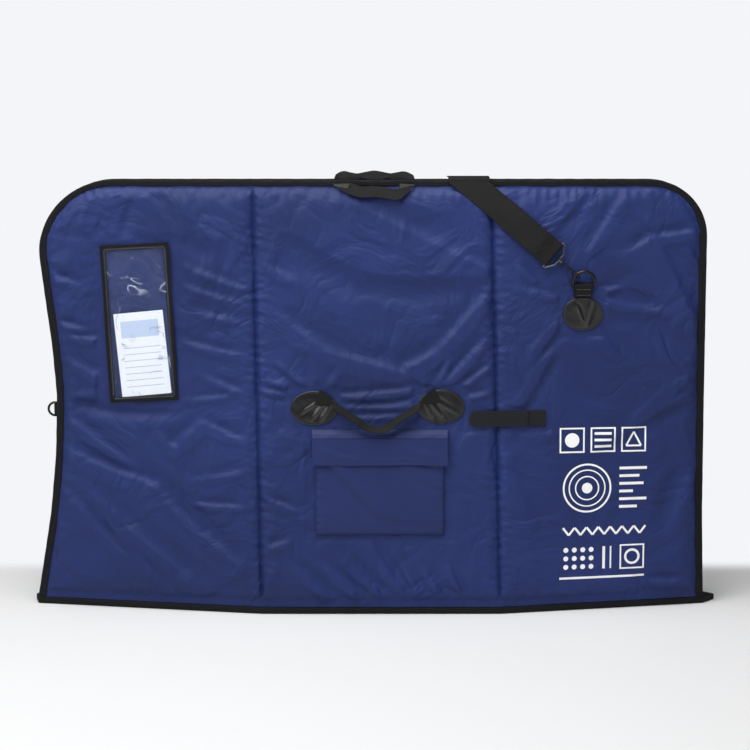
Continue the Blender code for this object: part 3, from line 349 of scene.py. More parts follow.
# The folds of spare cloth on the front in millimetres: from (x, z) to (x, z), height and width. It has
# long sweeps at the left and right, and short pulls round whatever is sewn to it. The back's mirror them.
FOLD_GAIN, FOLD_MOST = 2.9, 6.5
CREASES = (
    (-567, 392, -365, 374, -3.0, 13), (-570, 400, -470, 404, 1.6, 8), (-572, 287, -400, 222, 4.2, 12),
    (-440, 236, -262, 80, 4.4, 17), (-570, 352, -445, 264, 2.6, 9), (-577, 205, -450, 74, 2.2, 12),
    (-540, 220, -340, 50, 1.9, 13), (-500, 170, -400, 45, 1.4, 9), (-378, 295, -316, 349, 2.2, 11),
    (-322, 350, -252, 320, 2.8, 8), (-400, 330, -365, 285, 1.8, 9), (-567, 509, -506, 503, 2.2, 7),
    (-573, 466, -494, 417, 1.6, 11), (-585, 535, -530, 520, 1.5, 6), (-600, 625, -565, 608, 2.2, 7),
    (-340, 202, -242, 196, 1.8, 6), (-330, 245, -245, 262, 1.3, 7), (-503, 772, -537, 700, 1.6, 13),
    (-463, 779, -494, 705, 1.6, 16), (-430, 775, -385, 705, 1.4, 14), (-350, 700, -300, 655, -1.3, 22),
    (-345, 640, -240, 600, 0.9, 7), (-350, 605, -250, 575, 0.9, 6), (-340, 560, -250, 540, 0.9, 7),
    (-350, 500, -245, 476, 1.2, 7), (-320, 440, -250, 410, 1.3, 7), (-335, 395, -262, 405, 1.0, 6),
    (-68, 404, 72, 416, 2.2, 6), (-60, 385, 75, 390, 1.8, 5), (-55, 367, 60, 371, 1.4, 5),
    (-130, 424, -185, 468, 1.9, 5), (-110, 424, -118, 492, 1.5, 6), (-158, 405, -208, 412, 1.5, 5),
    (-150, 416, -205, 434, 1.3, 5), (-85, 420, -60, 470, 1.3, 6), (128, 424, 202, 503, 2.3, 7),
    (116, 428, 138, 470, 1.7, 6), (153, 417, 215, 462, 1.9, 5), (95, 425, 55, 468, 1.4, 7),
    (160, 400, 214, 412, 1.3, 5), (-184, 546, -86, 478, 1.9, 14), (-92, 480, 55, 441, 2.1, 15),
    (50, 441, 130, 490, 2.1, 13), (125, 488, 204, 582, 2.1, 12), (-178, 693, -37, 607, -2.0, 24),
    (-45, 607, 190, 600, -2.0, 22), (-55, 754, 153, 650, 1.9, 20), (145, 655, 216, 631, 1.7, 12),
    (-200, 640, -150, 612, 1.4, 9), (-153, 85, -80, 24, 2.2, 8), (-100, 92, -22, 24, 2.4, 8),
    (-49, 98, 18, 28, 2.2, 7), (-12, 130, 55, 37, 2.2, 9), (55, 85, 90, 30, 1.5, 7),
    (92, 80, 129, 28, 2.0, 7), (135, 92, 160, 37, 1.8, 6), (-202, 215, -150, 192, 2.0, 6),
    (-202, 120, -155, 135, 1.4, 7), (340, 540, 285, 466, 1.9, 8), (400, 596, 455, 603, 2.2, 5),
    (408, 580, 540, 556, 2.0, 11), (400, 527, 457, 466, 1.6, 11), (270, 600, 345, 585, 1.4, 7),
    (262, 650, 300, 612, 1.6, 7), (395, 662, 422, 705, 1.9, 9), (420, 700, 463, 772, 1.8, 10),
    (469, 662, 524, 693, 2.2, 10), (520, 690, 598, 705, 2.2, 9), (512, 687, 598, 515, 2.0, 16),
    (420, 656, 585, 470, -1.9, 24), (588, 435, 500, 368, 2.7, 8), (592, 410, 463, 337, 2.4, 11),
    (470, 342, 395, 300, 1.6, 11), (328, 490, 285, 417, 1.8, 10), (290, 425, 245, 343, 1.4, 11),
    (230, 313, 300, 130, 1.2, 18), (590, 300, 530, 140, -1.8, 22), (500, 50, 590, 44, 1.8, 7),
    (377, 772, 316, 705, 1.6, 11),
)
# Where something is sewn or laid on a panel, the cloth lies flat: centre and half sizes
RING_FLAT = (-0.3835, 0.562, 0.034, 0.038)
BACK_FLATS = (RING_FLAT,)
FRONT_FLATS = (
    (-0.436, 0.540, 0.072, 0.152),
    (0.009, 0.248, 0.126, 0.100),
    (-0.113, 0.384, 0.040, 0.028),
    (0.122, 0.387, 0.040, 0.028),
    (0.244, 0.364, 0.072, 0.014),
    (-RING_FLAT[0], *RING_FLAT[1:]),
)
PRINT_AREA = (0.338, 0.512, 0.050, 0.350)
# The card is drawn out upward from its window, so the cloth is kept low along its way
CARD_WAY = (-0.445, 0.076, 0.668)
CLOTH_SETTINGS = {
    "quality": 5,
    "mass": 0.12,
    "tension_stiffness": 18.0,
    "compression_stiffness": 18.0,
    "shear_stiffness": 6.0,
    "bending_stiffness": 0.06,
    "vertex_group_mass": "sewn",
    "shrink_min": -SLACK_SHARE,
    "use_pressure": True,
    "uniform_pressure_force": 0.5,
}


def flatness(x, z, flats):
    """1 on free cloth, falling to 0 where something is sewn on."""
    free = np.ones_like(x)
    for cx, cz, w, h in flats:
        off = np.maximum(np.abs(x - cx) - w, np.abs(z - cz) - h)
        free = np.minimum(free, np.clip(off / 0.012, 0.0, 1.0))
    return free


def folds_of(x, z, edge, fold, flats, mirror, seed):
    """How far the cloth stands off its smooth shape at each point."""
    lift = np.zeros_like(x)
    for x0, z0, x1, z1, height, width in CREASES:
        ends = (mirror * x0 * MM, z0 * MM), (mirror * x1 * MM, z1 * MM)
        lift += crease(x, z, *ends, FOLD_GAIN * height * MM, width * MM, 0.25 * mirror)
    x0, x1, z0, z1 = PRINT_AREA
    calm = np.maximum(np.abs(x - (x0 + x1) / 2) - (x1 - x0) / 2, np.abs(z - (z0 + z1) / 2) - (z1 - z0) / 2)
    calm = 0.45 + 0.55 * np.clip(calm / 0.03, 0.0, 1.0)
    lift *= calm * np.clip((edge - 0.008) / 0.014, 0.0, 1.0) * np.clip((fold - 0.001) / 0.010, 0.0, 1.0)
    lift = FOLD_MOST * MM * np.tanh(lift / (FOLD_MOST * MM))
    puckers = ripples(x, np.maximum(HEIGHT - z - 0.016, 0.0), 0.014, 2.0 * MM, 0.019, seed)
    puckers += ripples(x, np.maximum(z - SEAM_Z - 0.006, 0.0), 0.016, 1.2 * MM, 0.024, seed + 1)
    puckers += ripples(z, np.maximum(from_side(x, z) - 0.016, 0.0), 0.016, 1.4 * MM, 0.021, seed + 2)
    puckers += ripples(z, np.maximum(fold - 0.004, 0.0), 0.013, 1.1 * MM, 0.018, seed + 3)
    lift += puckers * np.clip((edge - EDGE_SEAM) / 0.006, 0.0, 1.0)
    beside = np.clip((fold - 0.0025) / 0.007, 0.0, 1.0)
    lift += ripples(z + 0.3 * x, fold, 0.020, 1.4 * MM, 0.015, seed + 3) * beside
    lift += ripples(z - 0.35 * x, fold, 0.050, 0.5 * MM, 0.011, seed + 4) * beside
    return lift * flatness(x, z, flats)


def let_out(item, pins):
    """Runs the cloth with its spare width and pins, and applies where it comes to rest."""
    group = item.vertex_groups.new(name="sewn")
    group.add([int(i) for i in np.flatnonzero(pins)], 1.0, "REPLACE")
    cloth = item.modifiers.new("cloth", "CLOTH")
    for name, value in CLOTH_SETTINGS.items():
        setattr(cloth.settings, name, value)
    cloth.settings.effector_weights.gravity = 0.0
    cloth.collision_settings.use_collision = False
    cloth.point_cache.frame_start = 1
    cloth.point_cache.frame_end = CLOTH_FRAMES
    for number in range(1, CLOTH_FRAMES + 1):
        bpy.context.scene.frame_set(number)
    make_active(item)
    bpy.ops.object.modifier_apply(modifier="cloth")
    bpy.context.scene.frame_set(1)
    item.vertex_groups.clear()


def mesh_points(item):
    points = np.empty(len(item.data.vertices) * 3)
    item.data.vertices.foreach_get("co", points)
    return points.reshape(-1, 3)


def set_points(item, points):
    item.data.vertices.foreach_set("co", points.astype(np.float32).ravel())
    item.data.update()


def shell(name, side, flats, mirror, seed):
    """The outer cloth of one panel, from its edge seam to its bottom seam."""
    smooth = base_depth(grid_x, grid_z) + RISE + swell(grid_edge, grid_fold)
    stand = smooth + 0.8 * folds_of(grid_x, grid_z, grid_edge, grid_fold, flats, mirror, seed)
    item = grid_mesh(name, grid_x, side * stand, grid_z, side > 0)
    points = np.stack([grid_x, side * stand, grid_z], axis=2).reshape(-1, 3)
    sewn = (grid_edge < EDGE_SEAM) | (grid_fold < 0.004) | (flatness(grid_x, grid_z, flats) < 0.5)
    let_out(item, sewn.ravel())
    most = 2.4 * MM
    drift = (mesh_points(item) - points) * (1.0 - sewn.ravel().astype(float))[:, None]
    set_points(item, points + most * np.tanh(drift / most))
    finish_modifier(item, "SUBSURF", levels=1, render_levels=1)
    fine = mesh_points(item)
    x, z = fine[:, 0], fine[:, 2]
    edge = np.minimum(from_side(x, z), np.minimum(HEIGHT - z, z - SEAM_Z))
    fine[:, 1] += side * 0.8 * folds_of(x, z, edge, from_fold(x, z), flats, mirror, seed)
    roof = base_depth(x, z) + RISE + FOAM
    ceiling = np.where(flatness(x, z, flats) < 0.9, roof + 0.2 * MM, roof + 5.0 * MM)
    ceiling = np.where(edge < EDGE_SEAM, base_depth(x, z) + RISE + 0.2 * MM, ceiling)
    if side < 0:
        centre, half, low = CARD_WAY
        way = roof + 1.4 * MM + 3.2 * MM * np.clip((np.abs(x - centre) - half) / 0.02, 0.0, 1.0)
        ceiling = np.where(z > low, np.minimum(ceiling, way), ceiling)
    fine[:, 1] = side * np.minimum(side * fine[:, 1], ceiling)
    set_points(item, fine)
    return shade(item)


def rib_scale(pitch):
    """The scale of a wave texture whose ribs are this many millimetres apart."""
    return 2 * math.pi / (pitch * MM) / 20.0


def plain_weave(tree, place, pitch):
    """The height of a plain weave of this thread spacing."""
    ribs = {"Vector": place, "Scale": rib_scale(pitch), "Distortion": 0.6, "Detail": 1.0}
    warp, weft = (add_node(tree, "TexWave", ribs, bands_direction=axis).outputs["Fac"] for axis in "XZ")
    return add_node(tree, "Math", {0: warp, 1: weft}, operation="MULTIPLY")


def tint(tree, shader, value, low, high, span=(0.0, 1.0)):
    """Lets the base colour run between two colours with the value."""
    ramp = add_node(tree, "ValToRGB", {"Fac": value})
    for stop, code, position in zip(ramp.color_ramp.elements, (low, high), span):
        stop.position = position
        stop.color = colour(code)
    tree.links.new(ramp.outputs["Color"], shader.inputs["Base Color"])


def fit(item, material, body, node=None):
    """Gives a piece its material, hides the imported node it stands for, if any, and puts it on its body.
    What is on the bend is baked in place, on no body.
    """
    item.data.materials.append(material)
    if node:
        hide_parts(node)
    if body == "bend":
        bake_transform(item)
    else:
        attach(item, body)


# Coated nylon taffeta: plain woven, with a smooth resin on its back, so it takes a soft silky light
# and small pale glints on its folds. The weave is about 0.25 mm, too fine to show, and is drawn at 1.1 mm.
navy_nylon, tree, shader, place = new_material(
    "coated_nylon_taffeta", "#212b60", 0.40, Specular_IOR_Level=0.26
)
tones = {"Vector": place, "Scale": 3.5, "Detail": 3.0, "Roughness": 0.55}
tint(tree, shader, add_node(tree, "TexNoise", tones), "#182655", "#213068", (0.30, 0.72))
weave = {"Height": plain_weave(tree, place, 1.1), "Strength": 0.10, "Distance": 0.0003}
grain = add_node(tree, "Bump", weave)
# Soft crumples from 20 to 60 mm long, left from when the cloth was folded up
crumples = {"Vector": place, "Scale": 9.0, "Detail": 3.0, "Roughness": 0.45, "Distortion": 1.4}
ridge = add_node(tree, "Math", {0: add_node(tree, "TexNoise", crumples), 1: 0.5}, operation="SUBTRACT")
ridge = add_node(tree, "Math", {0: ridge}, operation="ABSOLUTE")
raised = {"Height": ridge, "Strength": 0.60, "Distance": 0.024, "Normal": grain}
add_node(tree, "Bump", raised, to=shader.inputs["Normal"])
sheen = add_node(tree, "TexNoise", {"Vector": place, "Scale": 14.0, "Detail": 4.0, "Roughness": 0.6})
add_node(tree, "MapRange", {"Value": sheen, "To Min": 0.52, "To Max": 0.66}, to=shader.inputs["Roughness"])

front_shell = shell("front_cloth", -1, FRONT_FLATS, 1, 11)
back_shell = shell("back_cloth", 1, BACK_FLATS, -1, 47)
for cloth, node, body in ((front_shell, "front_shell", "bend"), (back_shell, "back_shell", "bag_body")):
    fit(cloth, navy_nylon, body, node)

# Padding. Under each section lies one sheet of white closed-cell polyethylene foam about 10 mm thick,
# loose between the cloths and held in by the seams round it. It takes up just less than the cloth's form.
FOAM_GAP, FOAM_LEAST = 0.0012, 0.0008
FOAM_INSET = 3


def tree_of(item):
    return BVHTree.FromObject(item, bpy.context.evaluated_depsgraph_get())


def depth_under(cloth, side):
    """A function that gives how far this cloth stands from the middle plane at (x, z)."""
    tree = tree_of(cloth)

    def depth_at(x, z):
        hit = tree.ray_cast(Vector((x, side * 0.4, z)), Vector((0.0, -side, 0.0)))
        return abs(hit[0].y) if hit[0] else float(base_depth(x, z) + RISE)

    return depth_at


front_depth = depth_under(front_shell, -1)
PANELS = (("front", -1, front_depth, "bend"), ("back", 1, depth_under(back_shell, 1), "bag_body"))


def hollow(values, reach):
    """The least value within so many grid steps of each point."""
    for axis in (0, 1):
        values = np.min([np.roll(values, step, axis=axis) for step in range(-reach, reach + 1)], axis=0)
    return values


def grid_part(columns, rows, every, values):
    """Part of each grid between these columns and rows, taking one in so many."""
    pick = np.ix_(*(sorted({*range(*span, every), span[1] - 1}) for span in (rows, columns)))
    return [grid[pick] for grid in values]


def closed_sheet(name, near, far, turned):
    """A closed solid between two grids of points of one shape. Turned, its far side faces +Y."""
    rows, columns = near.shape[:2]
    count = rows * columns
    faces = grid_faces(rows, columns, turned)
    faces += [tuple(count + i for i in reversed(face)) for face in faces]
    ring = list(range(columns))
    ring += [row * columns + columns - 1 for row in range(1, rows)]
    ring += [(rows - 1) * columns + column for column in range(columns - 2, -1, -1)]
    ring += [row * columns for row in range(rows - 2, 0, -1)]
    for a, b in zip(ring, ring[1:] + ring[:1]):
        wall = (a, count + a, count + b, b)
        faces.append(wall[::-1] if turned else wall)
    return new_mesh(name, np.concatenate([far.reshape(-1, 3), near.reshape(-1, 3)]), faces)


closed_cell_foam, tree, shader, place = new_material("closed_cell_foam", "#dcdcd6", 0.9)
# The foam's cells are about 0.5 mm, drawn at 2 mm
cells = add_node(tree, "TexVoronoi", {"Vector": place, "Scale": 500.0}).outputs["Distance"]
add_node(tree, "Bump", {"Height": cells, "Strength": 0.3, "Distance": 0.0004}, to=shader.inputs["Normal"])

folds = [int(np.argmin(grid_fold[0, : COLUMNS // 2]))]
folds.append(COLUMNS // 2 + int(np.argmin(grid_fold[0, COLUMNS // 2 :])))
FOAM_SPANS = {
    "left": (FOAM_INSET, folds[0] - 3),
    "middle": (folds[0] + 4, folds[1] - 3),
    "right": (folds[1] + 4, COLUMNS - FOAM_INSET),
}
for place_name, side, depth_at, body in PANELS:
    room = hollow(np.vectorize(depth_at)(grid_x, grid_z) - base_depth(grid_x, grid_z), 3)
    for section, columns in FOAM_SPANS.items():
        x, z, clear = grid_part(columns, (FOAM_INSET, ROWS - FOAM_INSET), 3, (grid_x, grid_z, room))
        inner = base_depth(x, z) + CLOTH + 0.0004
        outer = np.minimum(base_depth(x, z) + clear - FOAM_GAP, inner + FOAM)
        outer = np.maximum(outer, inner + FOAM_LEAST)
        near, far = (np.stack([x, side * depth, z], axis=2) for depth in (inner, outer))
        foam = shade(closed_sheet(f"{place_name}_padding_{section}", near, far, side > 0), 40)
        fit(foam, closed_cell_foam, body, f"{place_name}_foam_{section}")

# Linings. Thin dark blue polyester taffeta, cut to the panel and sewn in with its edge under the same
# binding. It lies against the foam and is a little slack between the folds.
lining_taffeta, tree, shader, place = new_material("polyester_lining", "#1d2550", 0.55)
# The lining's weave is about 0.3 mm, drawn at 1.2 mm
threads = add_node(tree, "TexBrick", {"Vector": place, "Scale": 830.0}).outputs["Fac"]
add_node(tree, "Bump", {"Height": threads, "Strength": 0.15, "Distance": 0.0003}, to=shader.inputs["Normal"])
for (place_name, side, _, body), seed in zip(PANELS, (71, 83)):
    x, z, edge = grid_part((0, COLUMNS), (0, ROWS), 2, (grid_x, grid_z, grid_edge))
    slack = ripples(x + 0.4 * z, np.zeros_like(x), 1.0, 0.0007, 0.055, seed)
    slack += ripples(z - 0.3 * x, np.zeros_like(x), 1.0, 0.0006, 0.041, seed + 1)
    depth = base_depth(x, z) + 0.0003 - np.abs(slack) * np.clip((edge - 0.012) / 0.03, 0.0, 1.0)
    cloth = shade(grid_mesh(f"{place_name}_lining_cloth", x, side * depth, z, side < 0))
    fit(cloth, lining_taffeta, body, f"{place_name}_lining")

# Bottom. A lens of the same nylon with a foam pad on it and the lining over that, all three caught in
# one binding round the outside, which ends in a short ear at each corner.
BOTTOM_BAND, BOTTOM_BAND_HEIGHT = 0.007, 0.012
BOTTOM_CLEAR = 0.0003
PANEL_FACE = 0.0048
BOTTOM_PAD = 0.008
BOTTOM_STEPS, BOTTOM_ROWS = 90, 15


def bottom_grid(height, wobble=0.0, seed=5):
    """Points over the bottom between its two long sides, at this height."""
    ends = float(left_edge(0.0)) + BOTTOM_BAND, float(right_edge(0.0)) - BOTTOM_BAND
    x = np.linspace(*ends, BOTTOM_STEPS + 1)
    half = base_depth(x, np.zeros_like(x)) + PANEL_FACE - BOTTOM_BAND - BOTTOM_CLEAR
    share = np.linspace(-1.0, 1.0, BOTTOM_ROWS)[:, None]
    y = share * half[None, :]
    xs = np.broadcast_to(x, y.shape)
    lift = np.abs(ripples(xs + 0.5 * y, np.zeros_like(y), 1.0, wobble, 0.047, seed))
    return np.stack([xs, y, height + lift * (1.0 - np.abs(share) ** 4)], axis=2)


bottom_cloth = shade(grid_mesh("bottom_cloth", *np.moveaxis(bottom_grid(0.0004), 2, 0), True))
fit(bottom_cloth, navy_nylon, "bag_body", "bottom_shell")

pad_ends = bottom_grid(0.0014), bottom_grid(0.0012 + BOTTOM_PAD)
bottom_foam = shade(closed_sheet("bottom_padding", *pad_ends, False), 40)
fit(bottom_foam, closed_cell_foam, "bag_body", "bottom_pad")

lining_places = np.moveaxis(bottom_grid(0.0098, 0.0006, 9), 2, 0)
bottom_top = shade(grid_mesh("bottom_lining_cloth", *lining_places, False))
fit(bottom_top, lining_taffeta, "bag_body", "bottom_lining")

# Binding. A woven polyester tape folded over the raw edges of each panel and stitched through near its
# inner edge. It rides up and down a little where the cloth puckers.
BINDING, BINDING_WIDTH = 0.0010, 0.013
SEAT_GAP, OUTER_RISE = 0.0006, 0.0024
THREAD, STITCH, STITCH_GAP = 0.00045, 0.0032, 0.0013
THREAD_DIPS = ((0.0, -0.6), (0.18, 0.25), (0.5, 0.45), (0.82, 0.25), (1.0, -0.6))

edge_tape, tree, shader, place = new_material("woven_edge_tape", "#0c0c10", 0.70, Specular_IOR_Level=0.22)
# The tape's ribs are about 1.2 mm apart, drawn at 1.6 mm
ribs = {"Vector": place, "Scale": rib_scale(1.6), "Distortion": 0.8}
ribs = add_node(tree, "TexWave", ribs, bands_direction="DIAGONAL").outputs["Fac"]
add_node(tree, "Bump", {"Height": ribs, "Strength": 0.35, "Distance": 0.0004}, to=shader.inputs["Normal"])


def lengths(points):
    """How far along a line each of its points lies."""
    return np.concatenate([[0.0], np.cumsum(np.linalg.norm(np.diff(points, axis=0), axis=1))])


def edge_route(spacing):
    """Points round a panel's edge from bottom left over the top to bottom right, with outward ways."""
    run = [(grid_x[i, 0], grid_z[i, 0]) for i in range(ROWS)]
    run += [(grid_x[-1, i], grid_z[-1, i]) for i in range(1, COLUMNS)]
    run += [(grid_x[i, -1], grid_z[i, -1]) for i in range(ROWS - 2, -1, -1)]
    run = np.array(run)
    far = lengths(run)
    at = np.linspace(0.0, far[-1], int(far[-1] / spacing) + 1)
    xs, zs = (np.interp(at, far, run[:, axis]) for axis in (0, 1))
    way = np.stack([np.gradient(xs), np.gradient(zs)], axis=1)
    kernel = np.hanning(9)[1:-1] / np.hanning(9)[1:-1].sum()
    for axis in (0, 1):
        way[:, axis] = np.convolve(np.pad(way[:, axis], 3, mode="edge"), kernel, mode="valid")
    way /= np.hypot(way[:, 0], way[:, 1])[:, None]
    outward = np.stack([-way[:, 1], way[:, 0]], axis=1)
    outward[0], outward[-1] = (-1.0, 0.0), (1.0, 0.0)
    return at, xs, zs, outward


def ring_faces(rings, around, capped=True, closed=False):
    """Faces along a tube of rings with so many points around."""
    faces = []
    for ring in range(rings if closed else rings - 1):
        base, after = ring * around, (ring + 1) % rings * around
        for i in range(around):
            j = (i + 1) % around
            faces.append((base + i, base + j, after + j, after + i))
    if capped and not closed:
        faces.append(tuple(range(around))[::-1])
        faces.append(tuple((rings - 1) * around + i for i in range(around)))
    return faces


def outward_faces(item):
    """Turns the faces of a closed solid outward."""
    make_active(item)
    bpy.ops.object.mode_set(mode="EDIT")
    bpy.ops.mesh.select_all(action="SELECT")
    bpy.ops.mesh.normals_make_consistent(inside=False)
    bpy.ops.object.mode_set(mode="OBJECT")
    return item


def binding(name, side, seed):
    """The tape round one panel."""
    at, xs, zs, outward = edge_route(0.006)
    low, high = -SEAT_GAP - BINDING, OUTER_RISE + SEAT_GAP + BINDING
    mid = (low + high) / 2
    wide, thick = BINDING_WIDTH, BINDING
    profile = (
        (-wide, high - 0.0004), (-wide * 0.9, high), (-wide * 0.3, high + 0.0002), (0.0, high - 0.0001),
        (thick * 0.9, high - 0.0011), (thick * 1.3, mid), (thick * 0.9, low + 0.0011), (0.0, low + 0.0001),
        (-wide, low), (-wide, low + thick), (-0.0009, low + thick), (-0.0004, mid),
        (-0.0009, high - thick), (-wide * 0.94, high - thick),
    )
    sway = ripples(at, np.zeros_like(at), 1.0, 0.0005, 0.034, seed)
    width = 1.0 + 0.05 * np.sin(at * 61.0) + 0.03 * np.sin(at * 143.0)
    points = []
    for i in range(len(at)):
        along_top = 1.0 - 0.28 * max(float(outward[i, 1]), 0.0)
        for out, depth in profile:
            reach = out * width[i] * (along_top if out < -0.002 else 1.0)
            reach += sway[i] * 0.4 if out > 0 else 0.0
            px, pz = xs[i] + reach * outward[i, 0], zs[i] + reach * outward[i, 1]
            stand = float(base_depth(px, min(pz, HEIGHT))) + depth + (sway[i] * 0.5 if depth > mid else 0.0)
            points.append((px, side * stand, max(pz, SEAM_Z)))
    return shade(outward_faces(new_mesh(name, points, ring_faces(len(at), len(profile)))), 35)


def stitches(name, route, normals, length=STITCH, gap=STITCH_GAP, thread=THREAD):
    """Sewing thread along a route: short bars that dip into the cloth at each end."""
    route = np.array(route)
    normals = np.broadcast_to(normals, route.shape)
    far = lengths(route)
    points, faces = [], []
    start = gap
    while start + length < far[-1]:
        middle = []
        for share, lift in THREAD_DIPS:
            at = start + share * length
            spot = np.array([np.interp(at, far, route[:, k]) for k in range(3)])
            out = np.array([np.interp(at, far, normals[:, k]) for k in range(3)])
            middle.append((spot + out * thread * lift, out))
        run = middle[-1][0] - middle[0][0]
        base = len(points)
        for spot, out in middle:
            aside = np.cross(run, out)
            aside *= thread / 2 / np.linalg.norm(aside)
            up = out * thread / 2
            points += [spot - aside, spot - up, spot + aside, spot + up]
        faces += [tuple(base + i for i in face) for face in ring_faces(len(middle), 4)]
        start += length + gap
    return shade(outward_faces(new_mesh(name, points, faces)))



def twisted_thread(name, code, roughness):
    """A polyester thread. Its twist is about 0.4 mm, drawn at 0.6 mm."""
    thread, tree, shader, place = new_material(name, code, roughness)
    twist = {"Vector": place, "Scale": rib_scale(0.6)}
    twist = add_node(tree, "TexWave", twist, bands_direction="DIAGONAL").outputs["Fac"]
    height = {"Height": twist, "Strength": 0.5, "Distance": 0.0002}
    add_node(tree, "Bump", height, to=shader.inputs["Normal"])
    return thread


sewing_thread = twisted_thread("polyester_thread", "#202124", 0.55)

# The folds are sewn through both cloths with dark thread, down in the groove between the sections
for place_name, side, depth_at, body in PANELS:
    for index, line in enumerate((left_fold, right_fold)):
        heights = np.arange(SEAM_Z + 0.006, HEIGHT - 0.016, 0.004)
        route = [(float(line(z)), side * (depth_at(float(line(z)), z) + 0.0001), z) for z in heights]
        seam = stitches(f"{place_name}_fold_stitches_{index}", route, (0.0, side, 0.0))
        fit(seam, sewing_thread, body)

for (place_name, side, _, body), seed in zip(PANELS, (101, 113)):
    tape = binding(f"{place_name}_edge_tape", side, seed)
    fit(tape, edge_tape, body, f"{place_name}_binding")
    at, xs, zs, outward = edge_route(0.004)
    inset = 0.0095 - 0.0028 * np.maximum(outward[:, 1], 0.0)
    px, pz = xs - inset * outward[:, 0], zs - inset * outward[:, 1]
    stand = base_depth(px, np.minimum(pz, HEIGHT)) + OUTER_RISE + SEAT_GAP + BINDING + 0.0001
    route = np.stack([px, side * stand, pz], axis=1)[pz > SEAM_Z + 0.004]
    seam = stitches(f"{place_name}_binding_stitches", route, (0.0, side, 0.0))
    fit(seam, sewing_thread, body)

# Bottom binding. The same tape sewn all round the seam between the bottom and the panels. Its ends run out
# past both corners, where the front and back lengths are folded together into a small stiff ear.
EAR_LEFT, EAR_RIGHT = 0.008, 0.026
EAR_STEP = 0.006
BOTTOM_SECTION = (
    (0.10, 0.0), (0.0, 0.12), (0.0, 0.86), (0.10, 0.97), (0.50, 1.0), (0.90, 0.97), (1.0, 0.90), (1.0, 0.0),
)
outer, inner = [], []
for x, way in ((left_edge(0.0), 1), (left_fold(0.0), 0), (right_fold(0.0), 0), (right_edge(0.0), -1)):
    half = float(base_depth(float(x), 0.0)) + PANEL_FACE
    outer.append((float(x), half))
    inner.append((float(x) + way * BOTTOM_BAND, half - BOTTOM_BAND))
pairs = [((outer[0][0] - EAR_LEFT, 0.0), (inner[0][0], 0.0))]
pairs += [((a[0], -a[1]), (b[0], -b[1])) for a, b in zip(outer, inner)]
pairs += [((outer[-1][0] + EAR_RIGHT, 0.0), (inner[-1][0], 0.0))]
pairs += list(zip(reversed(outer), reversed(inner)))
rows = []
for start, end in zip(pairs, pairs[1:] + pairs[:1]):
    count = max(int(math.dist(start[0], end[0]) / EAR_STEP), 2)
    for share in np.linspace(0.0, 1.0, count + 1)[:-1]:
        rows.append([np.array(a) * (1 - share) + np.array(b) * share for a, b in zip(start, end)])
far = np.arange(len(rows)) * EAR_STEP
puff = ripples(far, np.zeros_like(far), 1.0, 0.0004, 0.041, 131)
points = []
for (near_edge, far_edge), rise in zip(rows, puff):
    for across, up in BOTTOM_SECTION:
        x, y = near_edge * (1 - across) + far_edge * across
        points.append((x, y, BOTTOM_BAND_HEIGHT * up + (rise if 0.9 > across > 0.05 and up > 0.9 else 0.0)))
faces = ring_faces(len(rows), len(BOTTOM_SECTION), False, True)
bottom_tape = shade(outward_faces(new_mesh("bottom_edge_tape", points, faces)), 40)
fit(bottom_tape, edge_tape, "bag_body", "bottom_binding")


# Zip. A black nylon coil on woven tape, sewn inside the binding of each panel and meeting over the middle
# of the edge. Two die-cast sliders with painted tabs close it at the middle of the top.
def dress(names, material):
    """Puts a material on nodes whose shape stays as it is."""
    for node_name in names:
        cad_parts[node_name].material_slots[0].material = material


nylon_coil, tree, shader, place = new_material("nylon_coil_zip", "#18181a", 0.38)
# The coil has a turn every 1.5 mm, along whichever way its edge runs
normal = add_node(tree, "NewGeometry").outputs["Normal"]
steep = add_node(tree, "SeparateXYZ", {"Vector": normal}).outputs["X"]
steep = add_node(tree, "Math", {0: steep}, operation="ABSOLUTE")
turns = {"Vector": place, "Scale": rib_scale(1.5)}
flat, upright = (add_node(tree, "TexWave", turns, bands_direction=axis).outputs["Fac"] for axis in "XZ")
coil = add_node(tree, "Mix", {0: steep, 2: flat, 3: upright})
add_node(tree, "Bump", {"Height": coil, "Strength": 0.9, "Distance": 0.0008}, to=shader.inputs["Normal"])
dress(("zip_coil_front", "zip_coil_back"), nylon_coil)
dress(("zip_tape_front", "zip_tape_back"), edge_tape)

painted_zinc, tree, shader, place = new_material("painted_zinc_alloy", "#19191b", 0.30, Metallic=0.55)
handled = add_node(tree, "TexNoise", {"Vector": place, "Scale": 160.0, "Detail": 4.0})
add_node(tree, "MapRange", {"Value": handled, "To Min": 0.22, "To Max": 0.40}, to=shader.inputs["Roughness"])
dress(("zip_slider_left", "zip_slider_right", "zip_pull_left", "zip_pull_right"), painted_zinc)

# Card window. Clear PVC about 0.5 mm thick under a frame of the same woven tape, sewn round its inner edge
# with a zigzag. The film is stiff and a little wavy, and a printed paper card stands loose behind it.
SLOPE_STEP = 0.001
FULL_PADDING = 0.010
WINDOW_AT, WINDOW_SIZE = (-0.43524, 0.5392), (0.128, 0.292)
WINDOW_BAND = 0.010
WINDOW_TILT = math.radians(3.0)
WINDOW_LEVEL = 0.600
WINDOW_STAND, WINDOW_THICK = 0.0042, 0.0012
